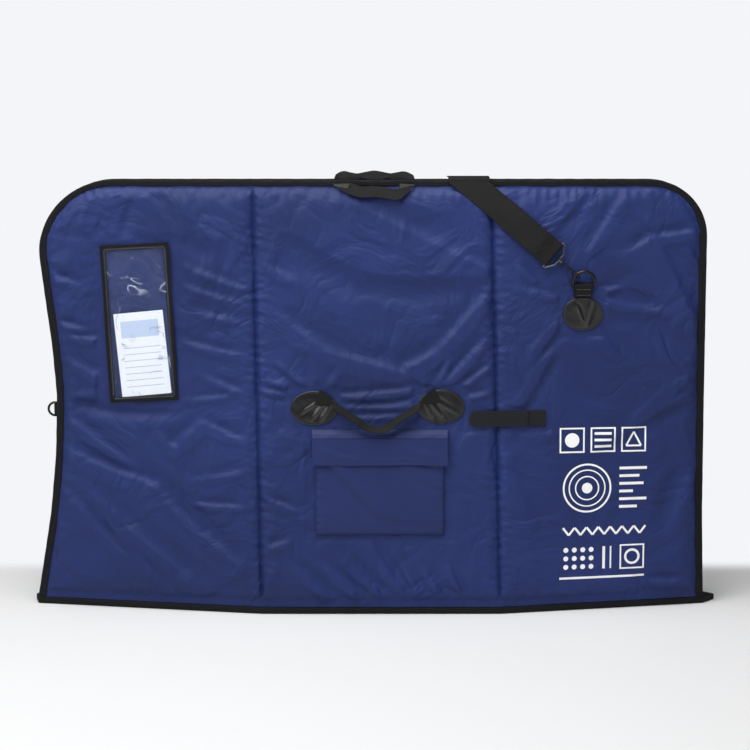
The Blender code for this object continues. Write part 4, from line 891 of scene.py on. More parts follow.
# Each corner of the window, with the way inward from the side that follows it
WINDOW_SIDES = (((-1, -1), (0, 1)), ((1, -1), (-1, 0)), ((1, 1), (0, -1)), ((-1, 1), (1, 0)))
FILM_CREASES = (
    ((-0.040, 0.112), (-0.004, 0.096)),
    ((-0.032, 0.096), (0.012, 0.106)),
    ((0.002, 0.118), (0.038, 0.092)),
    ((-0.036, 0.056), (0.030, 0.040)),
    ((-0.028, 0.012), (0.036, 0.028)),
)
CARD_SIZE, CARD_AT = (0.092, 0.155), (0.002, -0.057)
CARD_TILT = math.radians(2.5)
CARD_STAND, CARD_THICK = 0.0033, 0.0005
CARD_RULE = 0.012
BAND_SECTION = (
    (-0.985, -0.5), (-0.5, -0.5), (0.0, -0.5), (0.5, -0.5), (0.985, -0.5), (1.0, 0.0),
    (0.985, 0.5), (0.5, 0.56), (0.0, 0.58), (-0.5, 0.56), (-0.985, 0.5), (-1.0, 0.0),
)


def face_depth(x, z):
    """How far the outside of a panel stands from the middle plane where its padding is full."""
    return float(base_depth(x, z)) + OUTER_RISE + FULL_PADDING


def face_slope(x, z):
    across = (face_depth(x + SLOPE_STEP, z) - face_depth(x - SLOPE_STEP, z)) / (2 * SLOPE_STEP)
    up = (face_depth(x, z + SLOPE_STEP) - face_depth(x, z - SLOPE_STEP)) / (2 * SLOPE_STEP)
    return across, up


def face_frame(side, x, z, stand=0.0, slope=None, tilt=0.0):
    """A frame on a panel's face: X to the right, Y up and Z outward, seen from that side."""
    slope = slope or face_slope(x, z)
    across = Vector((1.0, side * slope[0], 0.0)) * -side
    up = Vector((0.0, side * slope[1], 1.0))
    outward = across.cross(up).normalized()
    up = (up - up.dot(outward) * outward).normalized()
    turn = Matrix((up.cross(outward), up, outward)).transposed().to_4x4()
    spot = Vector((x, side * face_depth(x, z), z)) + stand * outward
    return Matrix.Translation(spot) @ turn @ Matrix.Rotation(tilt, 4, "Z")


def spread(controls, spacing):
    """Evenly spaced points on a smooth curve through the control points, however many numbers each has."""
    controls = np.array(controls, float)
    far = lengths(controls[:, :3])
    slopes = np.empty_like(controls)
    slopes[1:-1] = (controls[2:] - controls[:-2]) / (far[2:] - far[:-2])[:, None]
    slopes[0] = (controls[1] - controls[0]) / (far[1] - far[0])
    slopes[-1] = (controls[-1] - controls[-2]) / (far[-1] - far[-2])
    at = np.linspace(0.0, far[-1], max(int(far[-1] / spacing), 2) + 1)
    i = np.clip(np.searchsorted(far, at, side="right") - 1, 0, len(far) - 2)
    span = (far[i + 1] - far[i])[:, None]
    t = (at - far[i])[:, None] / span
    curve = (2 * t**3 - 3 * t**2 + 1) * controls[i] + (t**3 - 2 * t**2 + t) * span * slopes[i]
    return curve + (3 * t**2 - 2 * t**3) * controls[i + 1] + (t**3 - t**2) * span * slopes[i + 1]


def flat_band(name, centres, halves, thick, closed=False):
    """A flat tape or webbing through its centres, each with the vector to its edge. Its UV is in metres."""
    centres, halves = np.array(centres, float), np.array(halves, float)
    if closed:
        run = np.roll(centres, -1, axis=0) - np.roll(centres, 1, axis=0)
    else:
        run = np.gradient(centres, axis=0)
    lift = np.cross(run, halves)
    lift /= np.linalg.norm(lift, axis=1)[:, None]
    points, places = [], []
    for far, centre, half, up in zip(lengths(centres), centres, halves, lift):
        for across, height in BAND_SECTION:
            points.append(centre + half * across + up * thick * height)
            places.append((far, across * np.linalg.norm(half)))
    item = new_mesh(name, points, ring_faces(len(centres), len(BAND_SECTION), True, closed))
    lay_uv(item, "weave", places)
    return shade(outward_faces(item), 50)


def lay_uv(item, name, places):
    """Gives each point of a mesh its place in a UV layer."""
    layer = item.data.uv_layers.new(name=name)
    for loop in item.data.loops:
        layer.data[loop.index].uv = places[loop.vertex_index]


def in_frame(matrix, points):
    return [tuple(matrix @ Vector(tuple(float(v) for v in point))) for point in points]


def sheet_in(name, matrix, x, y, out):
    """One sheet through a grid of places in a frame."""
    points = in_frame(matrix, np.stack([x, y, out], axis=2).reshape(-1, 3))
    return shade(new_mesh(name, points, grid_faces(*x.shape, False)))


def on_side(index, share, width, height):
    """A place on one side of the window, with the way inward from it."""
    (x0, y0), inward = WINDOW_SIDES[index]
    x1, y1 = WINDOW_SIDES[(index + 1) % 4][0]
    return (x0 + (x1 - x0) * share) * width / 2, (y0 + (y1 - y0) * share) * height / 2, inward


window_place = face_frame(-1, *WINDOW_AT, 0.0, face_slope(WINDOW_AT[0], WINDOW_LEVEL), WINDOW_TILT)
turn = window_place.to_3x3()
width, height = (size - WINDOW_BAND for size in WINDOW_SIZE)
rim, rim_half = [], []
for index in range(4):
    for share in np.linspace(0.0, 1.0, 22)[:-1]:
        x, y, inward = on_side(index, share, width, height)
        if share == 0.0:
            inward = tuple(-way for way in WINDOW_SIDES[index][0])
        sag = 0.0005 * math.sin(9 * share + index * 1.7) * math.sin(math.pi * share)
        rim.append((x + sag * inward[0], y + sag * inward[1], WINDOW_STAND + WINDOW_THICK / 2 + 0.0002))
        rim_half.append((inward[0] * WINDOW_BAND / 2, inward[1] * WINDOW_BAND / 2, 0.0))
rim, rim_half = in_frame(window_place, rim), in_frame(turn, rim_half)
rim_tape = flat_band("window_tape", rim, rim_half, WINDOW_THICK * 0.8, True)
fit(rim_tape, edge_tape, "front_panel", "window_frame")

zigzag = []
width, height = (size - 2 * WINDOW_BAND + 0.002 for size in WINDOW_SIZE)
for index in range(4):
    count = int((height if index % 2 else width) / 0.0026)
    for step in range(count):
        x, y, inward = on_side(index, step / count, width, height)
        out = 0.0028 * (step % 2)
        zigzag.append((x - out * inward[0], y - out * inward[1], WINDOW_STAND + WINDOW_THICK + 0.0002))
zigzag = in_frame(window_place, zigzag)
rim_stitch = stitches("window_zigzag", zigzag, tuple(turn.col[2]), 0.0036, 0.0002, 0.0005)
zigzag_thread, tree, shader, place = new_material("pale_zigzag_thread", "#8d919c", 0.5)
tones = add_node(tree, "TexNoise", {"Vector": place, "Scale": 90.0})
tint(tree, shader, tones, "#55585f", "#9ea2ac")
fit(rim_stitch, zigzag_thread, "front_panel")

width, height = (size - 2 * WINDOW_BAND + 0.004 for size in WINDOW_SIZE)
u, v = np.meshgrid(np.linspace(-0.5, 0.5, 41), np.linspace(-0.5, 0.5, 97))
x, y = u * width, v * height
calm = np.clip((0.5 - np.abs(u)) * width / 0.012, 0, 1) * np.clip((0.5 - np.abs(v)) * height / 0.012, 0, 1)
buckle = 0.0012 * np.sin(y * 38.0 + 2.2 * np.sin(x * 40.0) + 0.6)
buckle += 0.0006 * np.sin(x * 95.0 + y * 52.0) + 0.0004 * np.sin(y * 130.0 - x * 60.0)
for start, end in FILM_CREASES:
    buckle += crease(x, y, start, end, 0.0022, 0.0036, 0.6)
film = sheet_in("window_vinyl", window_place, x, y, WINDOW_STAND + 0.0004 + np.abs(buckle) * calm)
coat = {"Specular_IOR_Level": 0.9, "Coat_Weight": 0.35, "Coat_Roughness": 0.06}
clear_pvc, tree, shader, place = new_material("clear_pvc_film", "#aebbd6", 0.10, Alpha=0.10, **coat)
clouds = add_node(tree, "TexNoise", {"Vector": place, "Scale": 26.0, "Detail": 5.0})
haze = add_node(tree, "MapRange", {"Value": clouds, "To Min": 0.02, "To Max": 0.09})
# Painted reflections: thin curved pale lines, 20 to 60 mm long, where the film is made more opaque, standing
# in for the glints of the lamps on its crinkles
reflection_noise = {"Vector": place, "Scale": 15.0, "Detail": 1.0, "Distortion": 1.2}
reflection_lines = add_node(tree, "Math", {0: add_node(tree, "TexNoise", reflection_noise), 1: 0.5}, operation="SUBTRACT")
reflection_lines = add_node(tree, "Math", {0: reflection_lines}, operation="ABSOLUTE")
painted_reflections = add_node(tree, "MapRange", {"Value": reflection_lines, "From Max": 0.016, "To Min": 0.62, "To Max": 0.0})
reflection_patches = add_node(tree, "TexNoise", {"Vector": place, "Scale": 26.0, "Detail": 1.0})
reflection_patches = add_node(tree, "MapRange", {"Value": reflection_patches, "From Min": 0.50, "From Max": 0.62})
painted_reflections = add_node(tree, "Math", {0: painted_reflections, 1: reflection_patches}, operation="MULTIPLY")
# The painted reflections raise the film's opacity along these lines
add_node(tree, "Math", {0: haze, 1: painted_reflections}, operation="ADD", to=shader.inputs["Alpha"])
# The film's hard crinkles are 10 to 30 mm long
crinkles = add_node(tree, "TexNoise", {"Vector": place, "Scale": 42.0, "Distortion": 2.5})
add_node(tree, "Bump", {"Height": crinkles, "Strength": 1.0, "Distance": 0.016}, to=shader.inputs["Normal"])
fit(film, clear_pvc, "front_panel", "window_film")

u, v = np.meshgrid(np.linspace(-0.5, 0.5, 13), np.linspace(-0.5, 0.5, 21))
card_front = np.stack([u * CARD_SIZE[0], v * CARD_SIZE[1], np.full_like(u, CARD_STAND + CARD_THICK)], axis=2)
card = closed_sheet("printed_card", card_front - np.array((0.0, 0.0, CARD_THICK)), card_front, False)
card.data.transform(window_place @ Matrix.Translation((*CARD_AT, 0.0)) @ Matrix.Rotation(CARD_TILT, 4, "Z"))
lay_uv(card, "card", np.concatenate([np.stack([u + 0.5, v + 0.5], axis=2).reshape(-1, 2)] * 2))


def between(tree, value, low, high):
    """1 where the value lies between the two."""
    above = add_node(tree, "Math", {0: value, 1: low}, operation="GREATER_THAN")
    below = add_node(tree, "Math", {0: value, 1: high}, operation="LESS_THAN")
    return add_node(tree, "Math", {0: above, 1: below}, operation="MULTIPLY")


# Ruled lines to write on, 12 mm apart, under a pale blue block
card_paper, tree, shader, _ = new_material("coated_card_paper", "#e6ebf2", 0.55)
axes = add_node(tree, "SeparateXYZ", {"Vector": add_node(tree, "UVMap", uv_map="card").outputs["UV"]})
across, up = axes.outputs["X"], axes.outputs["Y"]
inside = between(tree, across, 0.12, 0.88)
row = add_node(tree, "Math", {0: up, 1: CARD_SIZE[1] / CARD_RULE}, operation="MULTIPLY")
row = add_node(tree, "Math", {0: row}, operation="FRACT")
lines = add_node(tree, "Math", {0: between(tree, row, 0.44, 0.52), 1: inside}, operation="MULTIPLY")
lines = add_node(tree, "Math", {0: lines, 1: between(tree, up, 0.10, 0.62)}, operation="MULTIPLY")
block = add_node(tree, "Math", {0: inside, 1: between(tree, up, 0.70, 0.90)}, operation="MULTIPLY")
paper = colour("#e6ebf2")
for share, code in ((block, "#b9cbe6"), (lines, "#8fa2c4")):
    printed = {0: share, 6: paper, 7: colour(code)}
    paper = add_node(tree, "Mix", printed, data_type="RGBA").outputs[2]
tree.links.new(paper, shader.inputs["Base Color"])
fit(card, card_paper, "id_card", "id_card")

# Patch pocket. One layer of uncoated nylon, folded under and sewn to the middle section on three sides,
# with its fullness taken up in small puckers. It hangs a little slack, with one long diagonal pull.
POCKET_X, POCKET_TOP = 0.00899, 0.3180
POCKET_SIZE, POCKET_DEPTH = (0.238, 0.168), 0.009
# Where its edge turns under: how far past the edge, and the share of the full height there
POCKET_TURN = ((0.0005, 0.0), (0.0, 0.12), (0.0, 0.55), (-0.0012, 0.86))
# The folds from (x, y) to (x, y) of the pocket and the flap, with height and width in millimetres
POCKET_PULLS = (
    ((-0.107, 0.062), (0.011, -0.072), -3.4, 6.5), ((-0.092, 0.066), (0.040, -0.060), 1.6, 8),
    ((0.050, 0.062), (0.112, 0.036), -2.6, 5), ((0.062, 0.020), (0.112, -0.006), -1.2, 6),
    ((-0.02, -0.055), (0.095, -0.068), -1.5, 7), ((0.03, 0.03), (0.075, -0.05), 1.4, 9),
)
FLAP_PULLS = (((-0.112, -0.02), (-0.03, -0.042), 1.1, 6), ((0.04, -0.015), (0.11, -0.035), 1.1, 7))

pocket_nylon, tree, shader, place = new_material(
    "pocket_nylon_weave", "#222c5c", 0.55, Specular_IOR_Level=0.22
)
# The pocket's weave is about 0.3 mm, drawn at 0.9 mm
weave = {"Height": plain_weave(tree, place, 0.9), "Strength": 0.16, "Distance": 0.0003}
add_node(tree, "Bump", weave, to=shader.inputs["Normal"])
tones = add_node(tree, "TexNoise", {"Vector": place, "Scale": 9.0, "Detail": 3.0})
tint(tree, shader, tones, "#1d2854", "#243061")


def pulled(x, y, pulls):
    """The height of these folds on a small piece."""
    return sum(crease(x, y, start, end, height * MM, width * MM, 0.3) for start, end, height, width in pulls)


pocket_place = face_frame(-1, POCKET_X, POCKET_TOP - POCKET_SIZE[1] / 2)
half_wide, half_high = POCKET_SIZE[0] / 2, POCKET_SIZE[1] / 2
turned = [share for _, share in POCKET_TURN]
near_side = [-half_wide - past for past, _ in POCKET_TURN]
across_points = near_side + list(np.linspace(-half_wide + 0.004, half_wide - 0.004, 66))
across_points += [-x for x in reversed(near_side)]
up_points = [-half_high - past for past, _ in POCKET_TURN]
up_points += list(np.linspace(-half_high + 0.004, half_high, 47))
u, v = np.meshgrid(across_points, up_points)
rise = np.minimum(*np.meshgrid(turned + [1.0] * 66 + turned[::-1], turned + [1.0] * 47))
inside = np.minimum(half_wide - np.abs(u), v + half_high)
belly = 1.0 - np.exp(-np.maximum(inside, 0.0) / 0.012)
out = (POCKET_DEPTH - 0.0042) * rise + 0.0030 * belly + pulled(u, v, POCKET_PULLS)
out += ripples(v, np.maximum(half_wide - np.abs(u), 0.0), 0.012, 0.0017, 0.015, 211) * rise
out += ripples(u, np.maximum(v + half_high, 0.0), 0.010, 0.0014, 0.017, 223) * rise
pocket = sheet_in("pocket_cloth", pocket_place, u, v, np.clip(out, 0.0005, POCKET_DEPTH + 0.0006))
finish_modifier(pocket, "SOLIDIFY", thickness=0.0005, offset=-1.0)
fit(shade(pocket, 60), pocket_nylon, "front_panel", "pocket_body")


def laid_on(item, matrix, line, spacing=0.002, lift=0.0001):
    """A line (x, y) in a frame, dropped along its Z onto a piece, with the ways out of the piece."""
    line = np.array(line, float)
    far = lengths(line)
    at = np.linspace(0.0, far[-1], int(far[-1] / spacing) + 2)
    tree = tree_of(item)
    way = matrix.to_3x3() @ Vector((0.0, 0.0, -1.0))
    spots, outs = [], []
    for x, y in zip(np.interp(at, far, line[:, 0]), np.interp(at, far, line[:, 1])):
        spot, face_out, _, _ = tree.ray_cast(matrix @ Vector((x, y, 0.05)), way)
        if spot is not None:
            spots.append(tuple(spot - way * lift))
            outs.append(tuple(-way if face_out.dot(way) > 0 else face_out))
    return spots, outs


def sew(name, item, matrix, line, thread, body):
    """Stitches along a line on a piece."""
    fit(stitches(name, *laid_on(item, matrix, line)), thread, body)


navy_thread = twisted_thread("navy_polyester_thread", "#161c3c", 0.5)
side, low = half_wide - 0.0025, -half_high + 0.0025
line = [(-side, half_high - 0.004), (-side, low), (side, low), (side, half_high - 0.004)]
sew("pocket_stitches", pocket, pocket_place, line, navy_thread, "front_panel")

# Pocket flap. A doubled strip of the same nylon, sewn along its top above the pocket and free below. Its
# upper part is fixed and its lower part turns up on the line where the pocket's mouth starts.
FLAP_LINE, FLAP_BAND_TOP = 0.3284, 0.3448
FLAP_SIZE = (0.250, 0.049)
FLAP_COLUMNS = 72

flap_place = face_frame(-1, POCKET_X, FLAP_LINE, POCKET_DEPTH + 0.0003)
flap_place = flap_place @ Matrix.Translation((0.0, 0.0, CLOTH))
band_top = face_frame(-1, POCKET_X, FLAP_BAND_TOP, 0.0003)
band_low = flap_place @ Matrix.Translation((0.0, 0.0, -CLOTH / 2))
half_flap = FLAP_SIZE[0] / 2
rows = []
for share in np.linspace(1.0, 0.0, 9):
    rows.append([])
    for x in np.linspace(-half_flap, half_flap, FLAP_COLUMNS):
        spot = (band_top @ Vector((x, -0.0004, 0.0006))).lerp(band_low @ Vector((x, 0.0004, 0.0)), share)
        spot.y -= 0.0012 * math.sin(math.pi * share)
        spot.y -= 0.0004 * math.sin(x * 140.0 + 2.0 * share) * share * (1 - share) * 4
        rows[-1].append(tuple(spot))
flap_band = grid_mesh("flap_band_cloth", *np.moveaxis(np.array(rows), 2, 0), False)
finish_modifier(flap_band, "SOLIDIFY", thickness=0.0006, offset=-1.0)
fit(shade(flap_band, 60), pocket_nylon, "front_panel", "pocket_flap_band")

v = np.linspace(-FLAP_SIZE[1] - 0.0003, -0.0003, 19)
u, v = np.meshgrid(np.linspace(-half_flap, half_flap, FLAP_COLUMNS), v)
free = np.clip(-v / FLAP_SIZE[1], 0.0, 1.0)
out = -CLOTH / 2 + 0.0012 * free**2 + 0.0008 * np.abs(u / half_flap) ** 6 * free + pulled(u, v, FLAP_PULLS)
out += free * (0.0006 * np.sin(u * 47.0 + 1.0) + 0.0004 * np.sin(u * 103.0))
out += 0.00035 * np.exp(-(((v + FLAP_SIZE[1] - 0.004) / 0.0016) ** 2))
flap = sheet_in("flap_cloth", flap_place, u, v + 0.0006 * free * np.sin(u * 31.0), out)
finish_modifier(flap, "SOLIDIFY", thickness=0.0007, offset=0.0)
fit(shade(flap, 60), pocket_nylon, "pocket_flap", "pocket_flap")
side, low = half_flap - 0.004, -FLAP_SIZE[1] + 0.0075
hem = [(-side, -0.002), (-side, low), (side, low), (side, -0.002)]
sew("flap_hem_stitches", flap, flap_place, hem, navy_thread, "pocket_flap")
for index, down in enumerate((-0.0026, -0.0105)):
    line = [(-half_flap + 0.003, down), (half_flap - 0.003, down)]
    sew(f"flap_top_stitches_{index}", flap_band, band_top, line, navy_thread, "front_panel")

# Handle patches. Two ovals of black grained leather about 2 mm thick, skived and turned at the rim, sewn
# through near it, with stitched rays over the webbing that runs in under their inner ends.
PATCH_SIZE = (0.087, 0.063)
PATCH_THICK, PATCH_GAP = 0.0020, 0.0009
PATCHES = (("left", (-0.11284, 0.384), 1, 5), ("right", (0.12214, 0.3868), -1, 6))
# The webbing spreads under the leather, and raises it in rays from the inner top
RAY_RISE, RAY_WIDTH = 0.0024, 0.0032
PATCH_RAYS = (
    ((0.026, 0.016), (-0.004, -0.021)),
    ((0.030, 0.010), (0.016, -0.022)),
    ((0.020, 0.019), (-0.022, -0.008)),
)
# The rim's rings, each at its share of the size and of the thickness
OVAL_RIM = (
    (0.985, 0.0), (1.0, 0.25), (1.0, 0.65), (0.985, 0.92), (0.955, 1.05), (0.92, 1.02), (0.885, 0.90),
)
OVAL_STEPS = 128
RIM_INSETS = (0.0034, 0.0052)

grained_leather, tree, shader, place = new_material(
    "grained_black_leather", "#08080a", 0.34, Specular_IOR_Level=0.65
)
# The leather's pebbles are about 0.9 mm and its pores 0.3 mm
pebbles = add_node(tree, "TexVoronoi", {"Vector": place, "Scale": 900.0}).outputs["Distance"]
pores = add_node(tree, "TexNoise", {"Vector": place, "Scale": 2600.0})
grain = add_node(tree, "Math", {0: pebbles, 1: pores}, operation="ADD")
add_node(tree, "Bump", {"Height": grain, "Strength": 0.22, "Distance": 0.0002}, to=shader.inputs["Normal"])
handled = add_node(tree, "TexNoise", {"Vector": place, "Scale": 70.0, "Detail": 4.0})
add_node(tree, "MapRange", {"Value": handled, "To Min": 0.22, "To Max": 0.38}, to=shader.inputs["Roughness"])


def leather_oval(name, matrix, size, seed, rays):
    """A closed oval of leather: a flat underside, a rolled rim and a top raised along its rays."""
    bumps = np.random.default_rng(seed).uniform(0.0, 2 * math.pi, 4)
    rings = list(OVAL_RIM)
    rings += [(reach, 1.0 + 0.12 * min((0.885 - reach) * 4, 1.0)) for reach in np.linspace(0.85, 0.03, 22)]
    points = []
    for reach, height in rings:
        for step in range(OVAL_STEPS):
            angle = 2 * math.pi * step / OVAL_STEPS
            x, y = reach * size[0] / 2 * math.cos(angle), reach * size[1] / 2 * math.sin(angle)
            rough = 0.0
            if height > 0.5:
                rough = 0.00014 * (math.sin(x * 130 + bumps[0]) + math.sin(y * 170 + bumps[1]))
                rough += 0.00008 * math.sin((x + y) * 310 + bumps[2])
            if reach < 0.9:
                for ray in rays:
                    raised = float(crease(x, y, *ray, RAY_RISE, RAY_WIDTH, 0.0))
                    rough += raised * min((0.9 - reach) * 6, 1.0)
            points.append((x, y, PATCH_GAP + PATCH_THICK * 0.94 * height + rough))
    faces = ring_faces(len(rings), OVAL_STEPS)
    return shade(outward_faces(new_mesh(name, in_frame(matrix, points), faces)), 60)


def oval_line(size, inset):
    angles = np.radians(np.linspace(0.0, 360.0, 90))
    return [((size[0] / 2 - inset) * math.cos(a), (size[1] / 2 - inset) * math.sin(a)) for a in angles]


def rim_lines(size):
    """The two rows of stitches round an oval, as names and lines."""
    return [(f"rim_stitches_{index}", oval_line(size, inset)) for index, inset in enumerate(RIM_INSETS)]


black_thread, tree, shader, place = new_material("waxed_black_thread", "#242528", 0.42)
twist = add_node(tree, "TexNoise", {"Vector": place, "Scale": 700.0})
add_node(tree, "Bump", {"Height": twist, "Strength": 0.4, "Distance": 0.0002}, to=shader.inputs["Normal"])
for place_name, at, mirror, seed in PATCHES:
    matrix = face_frame(-1, *at)
    rays = [tuple((x * mirror, y) for x, y in ray) for ray in PATCH_RAYS]
    patch = leather_oval(f"leather_patch_{place_name}", matrix, PATCH_SIZE, seed, rays)
    fit(patch, grained_leather, "front_panel", f"handle_patch_{place_name}")
    lines = rim_lines(PATCH_SIZE)
    for index, ray in enumerate(rays):
        lines.append((f"ray_stitches_{index}", [(x - 0.003, y) for x, y in ray]))
    for seam, line in lines:
        sew(f"patch_{place_name}_{seam}", patch, matrix, line, black_thread, "front_panel")

# Carry handle. Black polypropylene webbing 16 mm wide, woven with fine ribs across it. It hangs in a
# shallow loop from the inner ends of the patches and is narrowed where it folds in under them.
HANDLE_AT, HANDLE_REACH = (0.00341, 0.3928), 0.08153
HANDLE_WIDTH, HANDLE_THICK = 0.016, 0.0016
HANDLE_END_WIDTH = 0.0036
HANDLE_LIFT, HANDLE_DROP, HANDLE_STAND = 0.0023, 0.047, 0.0120
HANDLE_OUT_SHARE = 0.90
HANDLE_DROP_SHARES = (
    (0.0, 0.0), (0.07, 0.20), (0.18, 0.46), (0.28, 0.66), (0.37, 0.90), (0.46, 1.0),
    (0.57, 1.0), (0.66, 0.86), (0.76, 0.58), (0.87, 0.37), (0.94, 0.18), (1.0, 0.0),
)
ROOT_STAND = 0.0053
ROOT_CONTROLS = (
    (0.006, 0.0215, ROOT_STAND, 0.0145), (0.017, 0.0170, ROOT_STAND, 0.0130),
    (0.027, 0.0125, ROOT_STAND, 0.0085), (0.0325, 0.0100, ROOT_STAND, 0.0050),
)

ribbed_webbing, tree, shader, _ = new_material("ribbed_webbing", "#131211", 0.62, Specular_IOR_Level=0.20)
along = add_node(tree, "UVMap", uv_map="weave").outputs["UV"]
# The webbing's weft ribs are 1.3 mm apart and its warp bundles 2.1 mm
weft = {"Vector": along, "Scale": rib_scale(1.3), "Distortion": 0.3}
weft = add_node(tree, "TexWave", weft, bands_direction="X").outputs["Fac"]
warp = {"Vector": along, "Scale": rib_scale(2.1), "Distortion": 0.3}
warp = add_node(tree, "TexWave", warp, bands_direction="Y").outputs["Fac"]
ribs = add_node(tree, "Math", {0: weft, 1: warp}, operation="ADD")
add_node(tree, "Bump", {"Height": ribs, "Strength": 0.45, "Distance": 0.0005}, to=shader.inputs["Normal"])
tones = add_node(tree, "TexNoise", {"Vector": along, "Scale": 60.0, "Detail": 4.0})
tint(tree, shader, tones, "#090909", "#121212")


def ways_across(points, way):
    """The unit way across a line at each point, as near as can be to the one given."""
    run = np.gradient(points, axis=0)
    run /= np.linalg.norm(run, axis=1)[:, None]
    across = np.tile(way, (len(points), 1))
    across -= (across * run).sum(axis=1)[:, None] * run
    return across / np.linalg.norm(across, axis=1)[:, None]


def band_in(name, matrix, points, halves, thick):
    """A flat band whose points and half widths are those of a frame."""
    return flat_band(name, in_frame(matrix, points), halves @ np.array(matrix.to_3x3()).T, thick)


def hanging_band(name, matrix, reach, drop, drop_shares, stand, width, out_share, direction=-1, taper=0.001):
    """A webbing grab handle between two ends on its hinge line, hanging or standing from it."""
    controls = []
    for share, drop_share in drop_shares:
        wide = max(width * min(share / taper, (1.0 - share) / taper, 1.0), HANDLE_END_WIDTH)
        out = stand * math.sqrt(drop_share)
        controls.append((-reach + 2 * reach * share, direction * drop * drop_share, out, wide))
    rows = spread(controls, 0.0025)
    across = ways_across(rows[:, :3], (0.0, 1.0, direction * out_share))
    wide = np.clip(rows[:, 3], HANDLE_END_WIDTH, width)
    return band_in(name, matrix, rows[:, :3], across * wide[:, None] / 2, HANDLE_THICK)


handle_place = face_frame(-1, *HANDLE_AT, PATCH_GAP + PATCH_THICK + HANDLE_LIFT)
hang = (HANDLE_REACH, HANDLE_DROP, HANDLE_DROP_SHARES, HANDLE_STAND, HANDLE_WIDTH, HANDLE_OUT_SHARE)
handle = hanging_band("carry_handle_webbing", handle_place, *hang)
fit(handle, ribbed_webbing, "carry_handle", "carry_handle")

# The webbing comes out from under each patch folded to a point, on top of the leather's inner end
for place_name, at, mirror, _ in PATCHES:
    rows = spread(ROOT_CONTROLS, 0.0025)
    rows[:, 0] *= mirror
    run = np.gradient(rows[:, :3], axis=0)
    across = np.stack([-run[:, 1], run[:, 0], np.zeros(len(rows))], axis=1) * mirror
    halves = across * (rows[:, 3] / np.linalg.norm(across, axis=1))[:, None]
    root = band_in(f"handle_root_{place_name}", face_frame(-1, *at), rows[:, :3], halves, 0.0014)
    fit(root, ribbed_webbing, "front_panel")

# Closure strap. A soft black hook-and-loop strap over the right fold, rounded at its free end and sewn
# down at the other, with a border of stitches through both.
CLOSURE_WIDTH, CLOSURE_THICK = 0.030, 0.0016
CLOSURE_STAND, CLOSURE_END_GAP = 0.0034, 0.0012
CLOSURE_Z = 0.3640
CLOSURE_TIP, CLOSURE_FOLD, CLOSURE_END = 0.17205, 0.28303, 0.31589
CLOSURE_CUT = 0.0003
CLOSURE_HEM = 0.0028

loop_tape, tree, shader, place = new_material(
    "brushed_loop_tape", "#1b1c20", 0.85, Specular_IOR_Level=0.2, Sheen_Weight=0.06
)
# The tape's loops stand about 0.5 mm apart, drawn at 1 mm
loops = add_node(tree, "TexNoise", {"Vector": place, "Scale": 1000.0, "Detail": 3.0})
add_node(tree, "Bump", {"Height": loops, "Strength": 0.6, "Distance": 0.0006}, to=shader.inputs["Normal"])


def cut_tape(name, matrix, low_x, high_x, low, high, round_left, bend):
    """A closed strip of tape in a frame's XY plane, with one end round or square, and a slight bend."""
    half = CLOSURE_WIDTH / 2
    x = np.linspace(low_x, high_x, int((high_x - low_x) / 0.0025) + 2)[None, :]
    share = np.linspace(-1.0, 1.0, 9)[:, None]
    into_round = np.maximum(low_x + half - x, 0.0) * round_left
    y = share * np.sqrt(np.maximum(half**2 - into_round**2, (0.02 * half) ** 2))
    x = x + np.zeros_like(y)
    rise = bend * np.sin(math.pi * (x - low_x) / (high_x - low_x))
    edge = 0.00018 * np.maximum(np.abs(share) * 8 - 7, 0.0)
    near, far = (np.stack([x, y, level + rise], axis=2) for level in (low, high - edge))
    item = closed_sheet(name, near, far, False)
    item.data.transform(matrix)
    return shade(outward_faces(item), 50)


end_frame = face_frame(-1, (CLOSURE_FOLD + CLOSURE_END) / 2, CLOSURE_Z)
half_end = (CLOSURE_END - CLOSURE_FOLD - CLOSURE_CUT) / 2
span = (-half_end, half_end, CLOSURE_END_GAP, CLOSURE_END_GAP + CLOSURE_THICK)
strap_end = cut_tape("closure_strap_sewn_end", end_frame, *span, False, 0.0)
fit(strap_end, loop_tape, "front_panel", "closure_strap_end")
run = CLOSURE_END - CLOSURE_TIP
slope = (face_depth(CLOSURE_END, CLOSURE_Z) - face_depth(CLOSURE_TIP, CLOSURE_Z)) / run
slope = (slope, face_slope(CLOSURE_FOLD, CLOSURE_Z)[1])
strap_frame = face_frame(-1, CLOSURE_FOLD, CLOSURE_Z, CLOSURE_STAND + CLOSURE_THICK, slope)
span = (CLOSURE_TIP - CLOSURE_FOLD, -CLOSURE_CUT, -CLOSURE_THICK, 0.0)
closure = cut_tape("closure_strap_tape", strap_frame, *span, True, 0.0006)
fit(closure, loop_tape, "closure_strap", "closure_strap")
border, left = CLOSURE_WIDTH / 2 - CLOSURE_HEM, CLOSURE_TIP - CLOSURE_FOLD + CLOSURE_WIDTH / 2
turns = np.radians(np.linspace(90.0, 270.0, 20))
round_end = [(left + border * math.cos(turn), border * math.sin(turn)) for turn in turns]
line = [(-0.003, border)] + round_end + [(-0.003, -border)]
sew("closure_border_stitches", closure, strap_frame, line, black_thread, "closure_strap")
side = half_end - CLOSURE_HEM
line = [(-side, -border), (side, -border), (side, border), (-side, border), (-side, -border)]
line += [(side, border), (side, -border), (-side, border)]
sew("closure_box_stitches", strap_end, end_frame, line, black_thread, "front_panel")

